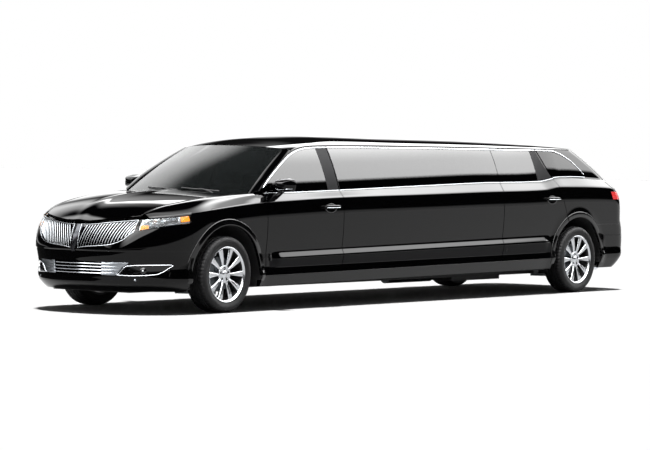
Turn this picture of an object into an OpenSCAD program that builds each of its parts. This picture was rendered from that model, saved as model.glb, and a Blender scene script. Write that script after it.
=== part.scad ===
// Stretch limousine: long four-door wagon body on alloy wheels.
// Millimetres, +X forward, +Y to the left side, +Z up, ground at Z = 0.

/* [Overall] */
// Distance between the axles
wheelbase = 6045; // [5400:5:6700]
// Nose tip ahead of the front axle
front_overhang = 1185; // [1150:5:1220]
// Tail behind the rear axle
rear_overhang = 1095; // [1095:5:1120]
// Width over the body sides, without mirrors
body_w = 1930; // [1900:2:1960]
// Height of the roof crown
height = 1712; // [1700:1:1725]

/* [Wheels] */
// Outer diameter of a tyre
tyre_d = 738; // [726:1:744]
// Width of a tyre
tyre_w = 245; // [225:1:255]
// Rim seat diameter
rim_d = 514; // [500:1:520]
// Distance between left and right wheel centres
track = 1652; // [1640:2:1660]
// Spokes in a wheel
spokes = 10; // [8:1:12]
// Angular width of a spoke at the rim
spoke_deg = 15; // [10:1:18]
// Wheel studs
studs = 5; // [4:1:6]
// Stud circle diameter
stud_circle = 114; // [100:1:120]
// Radius of the spindle in a hub
spindle_r = 22; // [18:0.5:26]
// Sideways offset of a steering axis inside the wheel centre
king_offset = 60; // [55:1:70]
// Radius of a steering pin
king_pin_r = 10; // [8:0.5:12]

/* [Arches] */
// Radius of a front wheel arch
front_arch_r = 500; // [490:1:510]
// Radius of a rear wheel arch
rear_arch_r = 475; // [465:1:485]
// Height of a front arch centre
front_arch_z = 343; // [335:1:350]
// Height of a rear arch centre
rear_arch_z = 369; // [360:1:375]
// Flare standing out round a wheel arch
flare = 9; // [0:0.5:12]

/* [Doors] */
// Length of a front door
front_door_len = 1205; // [1150:5:1230]
// Front door front seam behind the front axle
front_door_at = 580; // [575:1:600]
// Rear door front seam ahead of the rear axle
rear_door_at = 1465; // [1400:5:1500]
// Shut line round a door, the hood and the tailgate
gap = 8; // [7.5:0.5:9]
// Seat between fixed panels
seat = 0.4; // [0.2:0.1:0.6]
// Hinge axis behind a door's front edge
hinge_back = 60; // [55:1:70]
// Hinge axis inside the full width
hinge_in = 20; // [18:0.5:22]
// Radius of a door hinge pin
hinge_pin_r = 6; // [4:0.5:7]
// Running clearance of a pin in its bore
fit = 0.1; // [0.05:0.01:0.15]
// Width of a window frame
frame_w = 42; // [36:1:50]
// Thickness of window glass
glass_t = 6; // [4:0.5:8]
// Bed of sealant under the glass
bed = 1.3; // [1.2:0.1:1.6]

/* [Front end] */
// Bars in one grille wing
grille_bars = 20; // [14:1:24]
// Thickness of a grille bar
bar_t = 7; // [5:0.5:9]
// Bars in the lower grille
lower_bars = 4; // [3:1:5]
// Hood hinge axis behind the front axle
hood_hinge_at = 275; // [270:1:285]
// Radius of the hood and tailgate hinge pins
lid_pin_r = 6; // [5:0.5:7]

/* [Hidden] */
$fn = 48;
paint = "#101114";
chrome = "#c9ccd0";
trim = "#1b1c1e";
glass = "#4a5058";
steel = "#6d7176";
rubber = "#17181a";
hide = "#2a2623";
lamp_clear = "#d8dde2";
lamp_red = "#a31420";
half_l = (front_overhang + wheelbase + rear_overhang) / 2;
xf = half_l - front_overhang;
xr = xf - wheelbase;
half_w = body_w / 2;
wheel_r = tyre_d / 2;
wheel_y = track / 2;
king_y = wheel_y - king_offset;
door_f0 = xf - front_door_at;
door_f1 = door_f0 - front_door_len;
door_r0 = xr + rear_door_at;
hinge_y = half_w - hinge_in;

// Styling heights and stations are drawn for a height of 1712 and a width of 1930, and follow both:
// heights above the wheel hubs stretch with the roof, stations across stretch with the body
function up(z) = z + max(0, z - 560) * (height - 1712) / (1712 - 560);
function wide(y) = y * (1 + (body_w - 1930) / 1930);
// Table with the heights in one column, or the stations across in its first, brought to these sizes
function raised(tab, i) = [for (r = tab) i == 0 ? [up(r[0]), r[1]] : [r[0], up(r[1])]];
function widened(tab) = [for (r = tab) [wide(r[0]), r[1]]];

// Nose on the centre line: height, distance ahead of the front axle
NOSE = raised([[200, 1010], [260, 1075], [340, 1105], [480, 1118], [560, 1140], [640, 1146], [740, 1128],
    [830, 1094], [880, 1062], [960, 1000]], 0);
// Tail on the centre line: height, distance behind the rear axle
TAIL = raised([[240, 930], [300, 1010], [380, 1062], [520, 1092], [680, 1090], [740, 1066], [800, 1040],
    [956, 1022], [1030, 1005], [1132, 944], [1202, 870], [1343, 682], [1474, 482], [1560, 345],
    [1620, 250]], 0);
// Shoulder crease along the side: station, height
SHOULDER = raised([[xr - 1200, 1125], [xr - 900, 1150], [xr - 482, 1174], [xr + 260, 1184], [xr + 420, 1180],
    [xr + 672, 1152], [xr + 1800, 1136], [xf - 3222, 1119], [xf - 1735, 1098], [xf - 778, 1066],
    [xf - 463, 1052], [xf + 150, 1000], [xf + 556, 955], [xf + 850, 928], [xf + 960, 900],
    [xf + 1090, 850]], 1);
// Foot of the side windows along the side: station, height
BELT = raised([[xr - 1200, 1190], [xr - 900, 1235], [xr - 200, 1280], [xr + 300, 1284], [xr + 430, 1276],
    [xr + 700, 1243], [xr + 1800, 1230], [xf - 3294, 1206], [xf - 1145, 1150], [xf - 480, 1140],
    [xf + 300, 1120], [xf + 1200, 1060]], 1);
// Top edge of the side walls: station, height
WALL_TOP = raised([[xr - 1200, 1575], [xr - 200, 1590], [xr + 700, 1598], [xf - 3100, 1610],
    [xf - 1620, 1606], [xf - 1334, 1582], [xf - 1109, 1508], [xf - 739, 1306], [xf - 560, 1178],
    [xf - 400, 1060]], 1);
// Roof crown on the centre line: station, height
CROWN = raised([[xr - 320, 1592], [xr - 160, 1626], [xr + 250, 1656], [xr + 1490, 1690], [xf - 3108, 1704],
    [xf - 2050, 1712], [xf - 1600, 1684], [xf - 1250, 1634], [xf - 1070, 1606]], 1);
// Hood on the centre line and along its side seam: station, height
HOOD_MID = raised([[xf - 700, 1168], [xf - 420, 1162], [xf - 100, 1154], [xf + 285, 1132], [xf + 620, 1090],
    [xf + 850, 1040], [xf + 960, 990], [xf + 1030, 930], [xf + 1085, 866]], 1);
HOOD_SIDE = raised([[xf - 700, 1150], [xf - 420, 1140], [xf - 137, 1122], [xf + 198, 1096], [xf + 564, 1040],
    [xf + 750, 992], [xf + 850, 950], [xf + 960, 885], [xf + 1085, 790]], 1);
// Upper edge of the front bumper: distance from the middle, height
BUMPER_TOP = widened(raised([[0, 600], [120, 622], [400, 648], [520, 690], [600, 765], [645, 795], [930, 868],
    [990, 872]], 1));
// Rear shut line of a rear door: height, distance ahead of the rear axle
DOOR_REAR = raised([[200, 218], [790, 218], [1000, 295], [1187, 384], [1284, 450], [1420, 545],
    [1600, 625]], 0);
// Side wall levels below the shoulder: height at front axle, rise to rear axle, inset, wall
LEVELS = [[233, 50, 62, 40], [335, 65, 12, 60], [412, 52, 30, 80], [494, 87, 5, 90], [559, 101, 33, 90]];

nose_len = 800;
nose_pow = 2.3;
tail_len = 300;
tail_pow = 3.4;
tail_corner = 70;

function mix(a, b, t) = a + (b - a) * t;
function hold(v, lo, hi) = max(lo, min(hi, v));
function ease(t) = let (k = hold(t, 0, 1)) k * k * (3 - 2 * k);
// Row of a table at or before a key, and the slope of a table at a row
function row_at(tab, v, i = 0) = i + 2 >= len(tab) || v < tab[i + 1][0] ? i : row_at(tab, v, i + 1);
function slope(tab, i) = let (a = max(i - 1, 0), b = min(i + 1, len(tab) - 1))
    (tab[b][1] - tab[a][1]) / (tab[b][0] - tab[a][0]);
// Smooth curve through a table of two columns
function curve(tab, v) = let (k = hold(v, tab[0][0], tab[len(tab) - 1][0]), i = row_at(tab, k),
    h = tab[i + 1][0] - tab[i][0], t = (k - tab[i][0]) / h, a = slope(tab, i) * h,
    b = slope(tab, i + 1) * h, c = tab[i][1], d = tab[i + 1][1])
    c + a * t + (3 * (d - c) - 2 * a - b) * t * t + (a + b - 2 * (d - c)) * t * t * t;

function rise(x) = (xf - x) / wheelbase;
function level(i, x) = LEVELS[i][0] + LEVELS[i][1] * rise(x);
function shoulder(x) = curve(SHOULDER, x);
function belt(x) = curve(BELT, x);
function wall_top(x) = curve(WALL_TOP, x);
function ledge(x) = ease((door_f0 - 90 - x) / 120) * ease((x - xr - 540) / 120);
function level_inset(i, x) = i == 3 ? mix(31, LEVELS[3][2], ledge(x)) : LEVELS[i][2];
// Inset of the side surface from the full width, and the wall behind it
function inset(x, z) = let (waist = mix(level(4, x), shoulder(x), 0.66), sh = shoulder(x), b = belt(x),
    t = wall_top(x)) z < level(4, x) ? let (i = z < level(1, x) ? 0 : z < level(2, x) ? 1 :
    z < level(3, x) ? 2 : 3) mix(level_inset(i, x), level_inset(i + 1, x),
    max(-0.5, (z - level(i, x)) / (level(i + 1, x) - level(i, x)))) :
    z < waist ? 9 + 24 * pow((waist - z) / (waist - level(4, x)), 2) :
    z < sh ? 9 + 11 * pow((z - waist) / (sh - waist), 2) :
    z < b ? mix(20, 78, (z - sh) / (b - sh)) :
    78 + (z - b) * mix(0.27, 0.42, hold((z - b) / 450, 0, 1));
function flare_at(x, z) = let (f = norm([x - xf, z - front_arch_z]) - front_arch_r,
    r = norm([x - xr, z - rear_arch_z]) - rear_arch_r) z > shoulder(x) ? 0 :
    flare * max(ease(1 - f / 60), ease(1 - r / 130));
function nose_at(z) = xf + curve(NOSE, z) + front_overhang - 1185;
function tail_at(z) = xr - curve(TAIL, z) - rear_overhang + 1095;
function taper(t, n) = t <= 0 ? 1 : t >= 1 ? 0 : pow(1 - pow(t, n), 1 / n);
function side_y(x, z) = (half_w - inset(x, z) + flare_at(x, z)) *
    taper((x - nose_at(z)) / nose_len + 1, nose_pow) * taper((tail_at(z) - x) / tail_len + 1, tail_pow);
// Points of the front and rear ends: share round the corner from -1 to 1, height
function nose_w(z) = half_w - inset(xf + 500, z) + flare_at(xf + 520, z);
function nose_pt(q, z) = [nose_at(z) - nose_len + nose_len * pow(cos(abs(q) * 90), 2 / nose_pow),
    sign(q) * nose_w(z) * pow(sin(abs(q) * 90), 2 / nose_pow), z];
function nose_x(y, z) = nose_at(z) - nose_len + nose_len * taper(abs(y) / nose_w(z), nose_pow);
function tail_w(z) = half_w - inset(xr - 700, z);
function tail_pt(q, z) = [tail_at(z) + tail_len - tail_len * pow(cos(abs(q) * 90), 2 / tail_pow),
    sign(q) * tail_w(z) * pow(sin(abs(q) * 90), 2 / tail_pow), z];
function tail_x(y, z) = tail_at(z) + tail_len - tail_len * taper(abs(y) / tail_w(z), tail_pow);
function door_rear(z) = xr + curve(DOOR_REAR, z);
function quarter_rear(z) = tail_at(z) + tail_corner;
function bumper_top(y) = curve(BUMPER_TOP, abs(y));
// Hood height over the plan, its side seam and its front edge
hood_front_half = wide(612);
hood_rear_half = wide(800);
function hood_seam(x) = mix(hood_front_half, hood_rear_half, hold((xf + 850 - x) / 1150, -0.1, 1.15));
function hood_z(x, y) = let (u = min(1.2, abs(y) / hood_seam(x)))
    mix(curve(HOOD_MID, x), curve(HOOD_SIDE, x), u * u) + 9 * exp(-pow(y / 70, 2));
function hood_edge(y) = nose_x(y, mix(up(866), up(940), pow(abs(y) / hood_front_half, 2)));
// Roof height over the plan and its front edge
function roof_edge(x) = wall_top(x) + gap;
function roof_half(x) = side_y(x, roof_edge(x));
function roof_z(x, y) = let (t = min(1, abs(y) / roof_half(x)))
    mix(roof_edge(x), curve(CROWN, x), pow(1 - pow(t, 2.5), 0.62));
header_half = half_w - 325;
cowl_half = half_w - 175;
cowl_z = up(1138);
function header(y) = xf - 1070 - 110 * pow(y / header_half, 2);
function cowl(y) = xf - 325 - 130 * pow(y / cowl_half, 2);

// Solid between an outer and an inner grid of points
module shell(o, i) {
    n = len(o);
    m = len(o[0]);
    k = n * m;
    flip = cross(o[1][0] - o[0][0], o[0][1] - o[0][0]) * (o[0][0] - i[0][0]) > 0;
    quads = concat(
        [for (a = [0:n - 2], b = [0:m - 2])
            [a * m + b, (a + 1) * m + b, (a + 1) * m + b + 1, a * m + b + 1]],
        [for (a = [0:n - 2], b = [0:m - 2])
            [k + a * m + b + 1, k + (a + 1) * m + b + 1, k + (a + 1) * m + b, k + a * m + b]],
        [for (a = [0:n - 2]) [(a + 1) * m, a * m, k + a * m, k + (a + 1) * m]],
        [for (a = [0:n - 2]) [a * m + m - 1, (a + 1) * m + m - 1, k + (a + 1) * m + m - 1,
            k + a * m + m - 1]],
        [for (b = [0:m - 2]) [(n - 1) * m + b + 1, (n - 1) * m + b, k + (n - 1) * m + b,
            k + (n - 1) * m + b + 1]],
        [for (b = [0:m - 2]) [b, b + 1, k + b + 1, k + b]]);
    tris = [for (q = quads) each [[q[0], q[1], q[2]], [q[0], q[2], q[3]]]];
    polyhedron(points = [for (g = [o, i], r = g, p = r) p],
        faces = [for (t = tris) flip ? [t[0], t[2], t[1]] : t]);
}
module both() {
    children();
    mirror([0, 1, 0]) children();
}
// Side rows from a lower to an upper height at a station, with the section's own levels between
function side_rows(x, lo, hi) = let (sh = shoulder(x), b = belt(x), t = wall_top(x),
    all = concat([for (i = [0:4]) level(i, x)], [for (k = [0.2, 0.4, 0.66, 0.85, 0.95])
    mix(level(4, x), sh, k)], [sh, mix(sh, b, 0.5), b, b + 4],
        [for (k = [0.25, 0.5, 0.75, 1]) mix(b, t, k)]))
    [for (i = [lo:hi]) all[i]];
function wall_at(x, z) = z > belt(x) ? 42 : z < level(1, x) ? 45 : z > shoulder(x) ? 60 : 80;
// Panel of the side wall between two shut lines, each a function of height
module side_panel(xa, xb, cols, lo, hi, lift = 0, tuck = 0, glaze = 0, wall = 0, base = 0,
    crown = 0, turn = 0) {
    zs = [for (c = cols) let (z = side_rows(mix(xa(900), xb(900), c), lo, hi))
        [for (r = [0:hi - lo]) r == 0 && base > 0 ? base :
            z[r] + (r == 0 ? lift : r == hi - lo ? crown : 0)]];
    outer = [for (c = [0:len(cols) - 1]) [for (r = [0:hi - lo]) let (z = zs[c][r],
        x = mix(xa(z), xb(z), cols[c])) [x, side_y(x, z) - (r + lo > 12 ? glaze : 0), z]]];
    inner = [for (c = [0:len(cols) - 1]) [for (z = zs[c]) let (x = mix(xa(z) - tuck, xb(z) + tuck, cols[c]),
        k = turn * ease((cols[c] - 0.8) / 0.2), w = wall > 0 ? wall : wall_at(x, z))
        [x + k * w, side_y(x, z) - w * (1 - 0.88 * k), z]]];
    shell(outer, inner);
}
// Prism through the left side wall from a side-view outline
module side_cut(pts) {
    translate([0, half_w + 35, 0]) rotate([90, 0, 0]) linear_extrude(half_w / 2) polygon(pts);
}
module arch_cut(x, z, r, y0 = 300) {
    translate([x, y0, z]) rotate([-90, 0, 0]) cylinder(r = r, h = 1200, $fn = 96);
}
// Shut lines as functions of height
line_f0 = function (z) door_f0 - gap;
line_f1 = function (z) door_f1 + gap;
line_s0 = function (z) door_f1;
line_s1 = function (z) door_r0;
line_r0 = function (z) door_r0 - gap;
line_r1 = function (z) door_rear(z) + gap;
line_q0 = function (z) door_rear(z);
line_q1 = function (z) quarter_rear(z);

// Window opening through a wall: front, rear, narrower than its pane by the bond
bond = 30;
function opening(x0, x1, n = 6) = concat(
    [for (k = [0:n]) let (x = mix(x0, x1, k / n)) [x, belt(x) + bond]],
    [for (k = [n:-1:0]) let (x = mix(x0, x1, k / n)) [x, wall_top(x) - frame_w - 8]]);
// Pane from the belt to the upper frame, lying on the wall
module pane(x0, x1, n, foot = 6, top = function (x) wall_top(x) - 20) {
    outer = [for (k = [0:n]) let (x = mix(x0, x1, k / n)) [for (t = [0, 0.25, 0.5, 0.75, 1])
        let (z = mix(belt(x) + foot, top(x), t)) [x, side_y(x, z), z]]];
    shell(outer, [for (c = outer) [for (p = c) [p[0], p[1] - glass_t, p[2]]]]);
}
// Quarter window: upper edge falling to its rear tip, front edge behind the rear door's shut line
quarter_top = function (x) mix(wall_top(x) - 20, belt(x) + 30, pow(hold((xr + 440 - x) / 620, 0, 1), 2.2));
quarter_front = function (z) door_rear(z) - 26;
quarter_tip = xr - 180;
function quarter_z(x, t) = mix(belt(x) + 14, quarter_top(x), t);
function quarter_pane(k, t) = let (a = mix(xr + 450, quarter_tip, k),
    x = mix(quarter_front(quarter_z(a, t)), quarter_tip, k)) [x, quarter_z(x, t)];
function quarter_opening() = let (e = function (x, t) mix(belt(x) + bond, quarter_top(x) - bond, t),
    edge = function (z) quarter_front(z) - bond)
    concat([for (t = [1, 0.5, 0]) let (z = e(xr + 430, t)) [edge(z), z]],
    [for (k = [1:6]) let (x = mix(edge(belt(xr + 430) + bond), xr - 90, k / 6)) [x, e(x, 0)]],
    [for (k = [6:-1:1]) let (x = mix(edge(wall_top(xr + 430) - 50), xr - 90, k / 6)) [x, e(x, 1)]]);

module quarter_glass() {
    outer = [for (k = [0:10]) [for (t = [0, 0.25, 0.5, 0.75, 1]) let (p = quarter_pane(k / 10, t))
        [p[0], side_y(p[0], p[1]), p[1]]]];
    shell(outer, [for (c = outer) [for (p = c) [p[0], p[1] - glass_t, p[2]]]]);
}

// Hinge post with two brackets and pins for a door whose front edge stands at x0
HINGE_Z = [520, up(900)];
post_in = 118;
post_top = up(1042);
module hinge_pillar(x0) {
    hx = x0 - gap - hinge_back;
    translate([x0 + 12, hinge_y - post_in - 55, seat_z]) cube([50, 59, post_top - seat_z]);
    for (z = HINGE_Z) {
        translate([hx, hinge_y, z - 36]) cylinder(r = hinge_pin_r, h = 72);
        translate([0, 0, z - 12]) linear_extrude(24) union() {
            translate([hx, hinge_y]) circle(r = 8);
            translate([hx - 8, hinge_y - post_in]) square([16, post_in]);
            translate([hx - 8, hinge_y - post_in - 10]) square([x0 + 13 - hx + 8, 20]);
        }
    }
}
// Room for the brackets and bores for the pins in a door
module hinge_room(x0) {
    hx = x0 - gap - hinge_back;
    for (z = HINGE_Z) {
        translate([hx, hinge_y, z - 22]) linear_extrude(44)
            polygon([[-14, -140], [-14, 3], [-7, 9.5], [3, 11], [12, 8.3], [80, -27.8], [80, -140]]);
        translate([hx, hinge_y, z - 40]) cylinder(r = hinge_pin_r + fit, h = 80);
    }
}
door_cols = [0, 0.15, 0.3, 0.5, 0.7, 0.85, 1];
module front_door() {
    difference() {
        side_panel(line_f0, line_f1, door_cols, 1, 17, lift = gap, tuck = 10,
            glaze = glass_t + bed);
        side_cut(opening(door_f0 - 130, door_f1 + 215));
        hinge_room(door_f0);
    }
}
module rear_door() {
    difference() {
        side_panel(line_r0, line_r1, door_cols, 1, 17, lift = gap, tuck = 10,
            glaze = glass_t + bed);
        side_cut(opening(door_r0 - 90, xr + 770));
        arch_cut(xr, rear_arch_z, rear_arch_r);
        hinge_room(door_r0);
    }
}
// Pull handle seated on a door skin
module handle(x0, z) {
    y0 = side_y(x0, z) + seat;
    translate([x0 - 125, y0 + 22, z]) rotate([0, 90, 0])
        linear_extrude(250) polygon([[-15, 0], [-10, 16], [10, 16], [15, 0]]);
    for (k = [-105, 105]) translate([x0 + k - 14, y0, z - 9]) cube([28, 24, 18]);
}
// Door mirror: a foot, an arm and a domed head with a flat rear face
mirror_z = up(1106);
mirror_back = 52;
mirror_depth = 132;
mirror_half = [80, 68];
// Point of the head: u across and v up a rounded rectangle, bulge 0 on the rear face and 1 on the dome
function mirror_pt(x0, y0, u, v, bulge) = let (e = pow(max(abs(u), abs(v)), 3),
    a = u * (1 - 0.16 * v * v), b = v * (1 - 0.2 * u * u))
    [x0 - mirror_back + bulge * mix(mirror_depth - 14 * u, 18, e), y0 + 92 + mirror_half[0] * a,
        mirror_z + 120 + mirror_half[1] * b];
module mirror_pod() {
    x0 = door_f0 - 115;
    y0 = side_y(x0, mirror_z + 12) + seat;
    translate([x0 - 40, y0, mirror_z]) cube([90, 60, 24]);
    translate([0, 0, mirror_z + 23]) linear_extrude(40) polygon([[x0 - 40, y0 + 6], [x0 + 50, y0 + 6],
        [x0 + 30, y0 + 96], [x0 - 30, y0 + 96]]);
    ks = [-1, -0.9, -0.65, -0.3, 0.3, 0.65, 0.9, 1];
    shell([for (u = ks) [for (v = ks) mirror_pt(x0, y0, u, v, 1)]],
        [for (u = ks) [for (v = ks) mirror_pt(x0, y0, u, v, 0)]]);
}

// Front fender: side rows up to the shoulder, then rows in to the hood seam; its tip runs on over the lamp
fender_x1 = xf + 510;
fender_x2 = xf + 840;
lamp_x0 = fender_x1 + 2 * seat;
lamp_edge = 14;
module fender() {
    t = 24;
    xs = concat([for (k = [0, 0.08, 0.2, 0.3, 0.4, 0.5, 0.6, 0.7, 0.8, 0.9, 1]) mix(door_f0, fender_x1, k)],
        [for (k = [0, 0.3, 0.6, 0.85, 1]) mix(fender_x1 + seat, fender_x2, k)]);
    low = function (x) let (z = side_rows(x, 1, 10)) x <= fender_x1 ? z :
        [for (k = [0:9]) mix(shoulder(x) - lamp_edge, shoulder(x), k / 9)];
    side = function (x) [for (z = low(x)) [x, side_y(x, z), z]];
    over = function (x) let (z0 = shoulder(x), y0 = side_y(x, z0), y1 = min(hood_seam(x) + gap, y0 - 10))
        [for (k = [0.25, 0.5, 0.75, 1]) [x, mix(y0, y1, k), mix(z0, hood_z(x, y1), sin(k * 90))]];
    outer = [for (x = xs) concat(side(x), over(x))];
    inner = [for (x = xs) concat([for (p = side(x))
        [x, p[1] - (x > fender_x1 ? 10 : t), p[2] - (x > fender_x1 ? 6 : 0)]],
        [for (p = over(x)) [x, p[1] - (x > fender_x1 ? 4 : 8), p[2] - (x > fender_x1 ? 12 : t)]])];
    difference() {
        shell(outer, inner);
        arch_cut(xf, front_arch_z, front_arch_r);
    }
}
module hood() {
    t = 20;
    us = [for (k = [-8:8]) k / 8];
    vs = [0, 0.15, 0.3, 0.45, 0.6, 0.72, 0.82, 0.9, 0.95, 1];
    x0 = xf - hood_hinge_at + 15;
    top = [for (u = us) [for (v = vs) let (ye = u * hood_seam(hood_edge(u * hood_front_half)),
        x = mix(x0, hood_edge(ye), v),
        y = u * hood_seam(x)) [x, y, hood_z(x, y)]]];
    color(paint) shell(top, [for (c = top) [for (p = c) [p[0], p[1], p[2] - t]]]);
    color(paint) for (s = [-1, 1]) {
        translate([x0 + 6, s * hood_hinge_y - 15, hood_hinge_z - 14]) cube([60, 30, 30]);
        translate([x0 + 13, s * hood_hinge_y - 40, hood_hinge_z]) rotate([-90, 0, 0])
            cylinder(r = lid_pin_r, h = 80);
        translate([x0 + 40, s * hood_hinge_y - 15, hood_hinge_z])
            cube([40, 30, hood_z(x0 + 60, hood_hinge_y) - t / 2 - hood_hinge_z]);
    }
}
hood_hinge_x = xf - hood_hinge_at + 28;
hood_hinge_y = wide(640);
hood_hinge_drop = 47.64;
hood_hinge_z = hood_z(hood_hinge_x, hood_hinge_y) - hood_hinge_drop;
// Bulkhead with its shelf
shelf_z = hood_hinge_z - 27;
shelf_half = hinge_y - post_in - 59;
shelf_t = 24;
shelf_x = xf - 340;
bulkhead_x = xf - 545;
module cowl_bulkhead() {
    color(trim) translate([bulkhead_x, -shelf_half, seat_z])
        cube([35, 2 * shelf_half, shelf_z - shelf_t + 1 - seat_z]);
    color(trim) translate([bulkhead_x, -shelf_half, shelf_z - shelf_t])
        cube([shelf_x - bulkhead_x, 2 * shelf_half, shelf_t]);
}
// Brackets of the hood hinges in front of the shelf
module hood_hinges() {
    color(steel) for (s = [-1, 1], k = [-1, 1]) translate([0, s * hood_hinge_y + k * 28 - 8, 0])
        difference() {
        union() {
            translate([shelf_x + seat, 0, shelf_z - 23]) cube([hood_hinge_x + 18 - shelf_x - seat, 16, 18]);
            translate([hood_hinge_x - 18, 0, shelf_z - 23]) cube([36, 16, hood_hinge_z - shelf_z + 23]);
            translate([hood_hinge_x, 0, hood_hinge_z]) rotate([-90, 0, 0]) cylinder(r = 18, h = 16);
        }
        translate([hood_hinge_x, -1, hood_hinge_z]) rotate([-90, 0, 0])
            cylinder(r = lid_pin_r + fit, h = 18);
    }
}
// Panel between the shelf and the foot of the windshield
module cowl_panel() {
    panel = [for (i = [-6:6]) let (u = i / 6) [[xf - 332, u * shelf_half, shelf_z + 12 + seat],
        [cowl(u * cowl_half) + 2, u * (cowl_half - 5), cowl_z - 10 - 10 * u * u]]];
    color(trim) shell(panel, [for (c = panel) [for (p = c) p - [0, 0, 12]]]);
}
// Inward direction at a share round the nose or the tail
function nose_in(q, t) = [-t * cos(abs(q) * 90), -sign(q) * t * sin(abs(q) * 90), 0];
function tail_in(q, t) = [t * cos(abs(q) * 90), -sign(q) * t * sin(abs(q) * 90), 0];
// Share round the nose whose point stands at a station, at a height
function nose_share(x, z) = acos(pow(hold((x - nose_at(z)) / nose_len + 1, 0, 1), nose_pow / 2)) / 90;
module front_bumper() {
    t = 20;
    qs = [for (k = [-12:12]) k / 12];
    ks = [0, 0.12, 0.25, 0.4, 0.55, 0.7, 0.85, 1];
    at = function (q, k) let (z0 = 216, ye = nose_pt(q * 0.62, up(700))[1],
        z = mix(z0, bumper_top(ye) - seat, k),
        w = nose_share(lamp_x0, z)) [q * w, z];
    outer = [for (q = qs) [for (k = ks) let (a = at(q, k)) nose_pt(a[0], a[1])]];
    inner = [for (q = qs) [for (k = ks) let (a = at(q, k)) nose_pt(a[0], a[1]) + nose_in(q, t)]];
    color(paint) difference() {
        shell(outer, inner);
        both() arch_cut(xf, front_arch_z, front_arch_r);
        translate([xf + 900, -lower_half, lower_z0]) cube([400, 2 * lower_half, lower_z1 - lower_z0]);
        both() fog_frame() cylinder(r = fog_r + 1, h = 400, center = true);
    }
}
lower_half = 350;
lower_z0 = 365;
lower_z1 = 497;
fog_r = 48;
fog_y = wide(670);
fog_z = 425;
module fog_frame() {
    translate([nose_x(fog_y, fog_z), fog_y, fog_z]) rotate([0, 90, 30]) children();
}
// Grille: two wings of upright bars in a rim, the middle spear and the lower bars
wing_y1 = wide(600);
function wing_lo(y) = bumper_top(y) + 12;
function wing_hi(y) = hood_z(hood_edge(y), y) - 20 - gap - 12;
module grille_bar(y) {
    zs = [for (k = [0:8]) mix(wing_lo(y) - 9, wing_hi(y) + 9, k / 8)];
    translate([0, y + bar_t / 2, 0]) rotate([90, 0, 0]) linear_extrude(bar_t)
        polygon(concat([for (z = zs) [nose_x(y, z) - 6, z]],
            [for (i = [8:-1:0]) [nose_x(y, zs[i]) - 46, zs[i]]]));
}
module wing_rim(lo) {
    ys = [for (k = [0:12]) mix(40, wing_y1 + 14, k / 12)];
    edge = function (y, d) let (z = lo ? wing_lo(y) - d : wing_hi(y) + d) [nose_x(y, z) + 2, y, z];
    outer = [for (y = ys) [edge(y, 11.5), edge(y, -4)]];
    shell(outer, [for (c = outer) [for (p = c) p - [60, 0, 0]]]);
}
module grille() {
    color(chrome) both() {
        for (k = [0:grille_bars - 1]) grille_bar(mix(62, wing_y1, k / (grille_bars - 1)));
        wing_rim(true);
        wing_rim(false);
    }
    spear = [for (t = [0, 0.25, 0.5, 0.75, 1]) let (z = mix(bumper_top(0) + 2.2, up(840), t))
        [for (k = [-1, -0.5, 0, 0.5, 1])
            [nose_x(0, z) + (1 - abs(k)) * mix(38, 6, t), k * mix(14, 70, t), z]]];
    color(chrome) shell(spear, [for (c = spear) [for (p = c) [nose_x(0, p[2]) - 60, p[1], p[2]]]]);
}
module lower_grille() {
    color(chrome) for (k = [0:lower_bars - 1]) let (z = mix(lower_z0 + 20, lower_z1 - 20,
        k / (lower_bars - 1)),
        ys = [for (j = [-8:8]) j / 8 * (lower_half - seat)])
        translate([0, 0, z - 5]) linear_extrude(10) polygon(concat([for (y = ys) [nose_x(y, z) - 12, y]],
            [for (j = [16:-1:0]) [nose_x(ys[j], z) - 52, ys[j]]]));
    color(chrome) translate([nose_at(430) - 60, -6, lower_z0 + 2]) cube([40, 12, lower_z1 - lower_z0 - 4]);
}
module front_lamp() {
    q0 = 0.52;
    at = function (k, r) let (p = nose_pt(mix(q0, nose_share(lamp_x0, up(880)), k), up(880)),
        z = mix(bumper_top(p[1]) + seat, shoulder(p[0]) - lamp_edge - 8, r))
        nose_pt(mix(q0, nose_share(lamp_x0, z), k), z);
    outer = [for (k = [0:8]) [for (r = [0:4]) at(k / 8, r / 4)]];
    shell(outer, [for (k = [0:8]) [for (p = outer[k]) p + nose_in(mix(q0, 1, k / 8), 110)]]);
    fog_frame() cylinder(r = fog_r, h = 60, center = true);
}
// Windshield between the cowl and the roof, and a point on its edge line
function shield_pt(u, v) = let (x0 = cowl(u * cowl_half), x1 = header(u * header_half) + 2 * seat,
    y = mix(cowl_half, header_half, v) * u, x = mix(x0, x1, v), z0 = cowl_z - 10 * u * u,
    z1 = roof_z(header(u * header_half), u * header_half))
    [x, y, mix(z0, z1, v) + 34 * sin(v * 180) * (1 - 0.35 * u * u)];
module windshield() {
    outer = [for (i = [-6:6]) [for (j = [0:6]) shield_pt(i / 6, j / 6)]];
    color(glass) shell(outer, [for (c = outer) [for (p = c) p - [0, 0, 10]]]);
}
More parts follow.
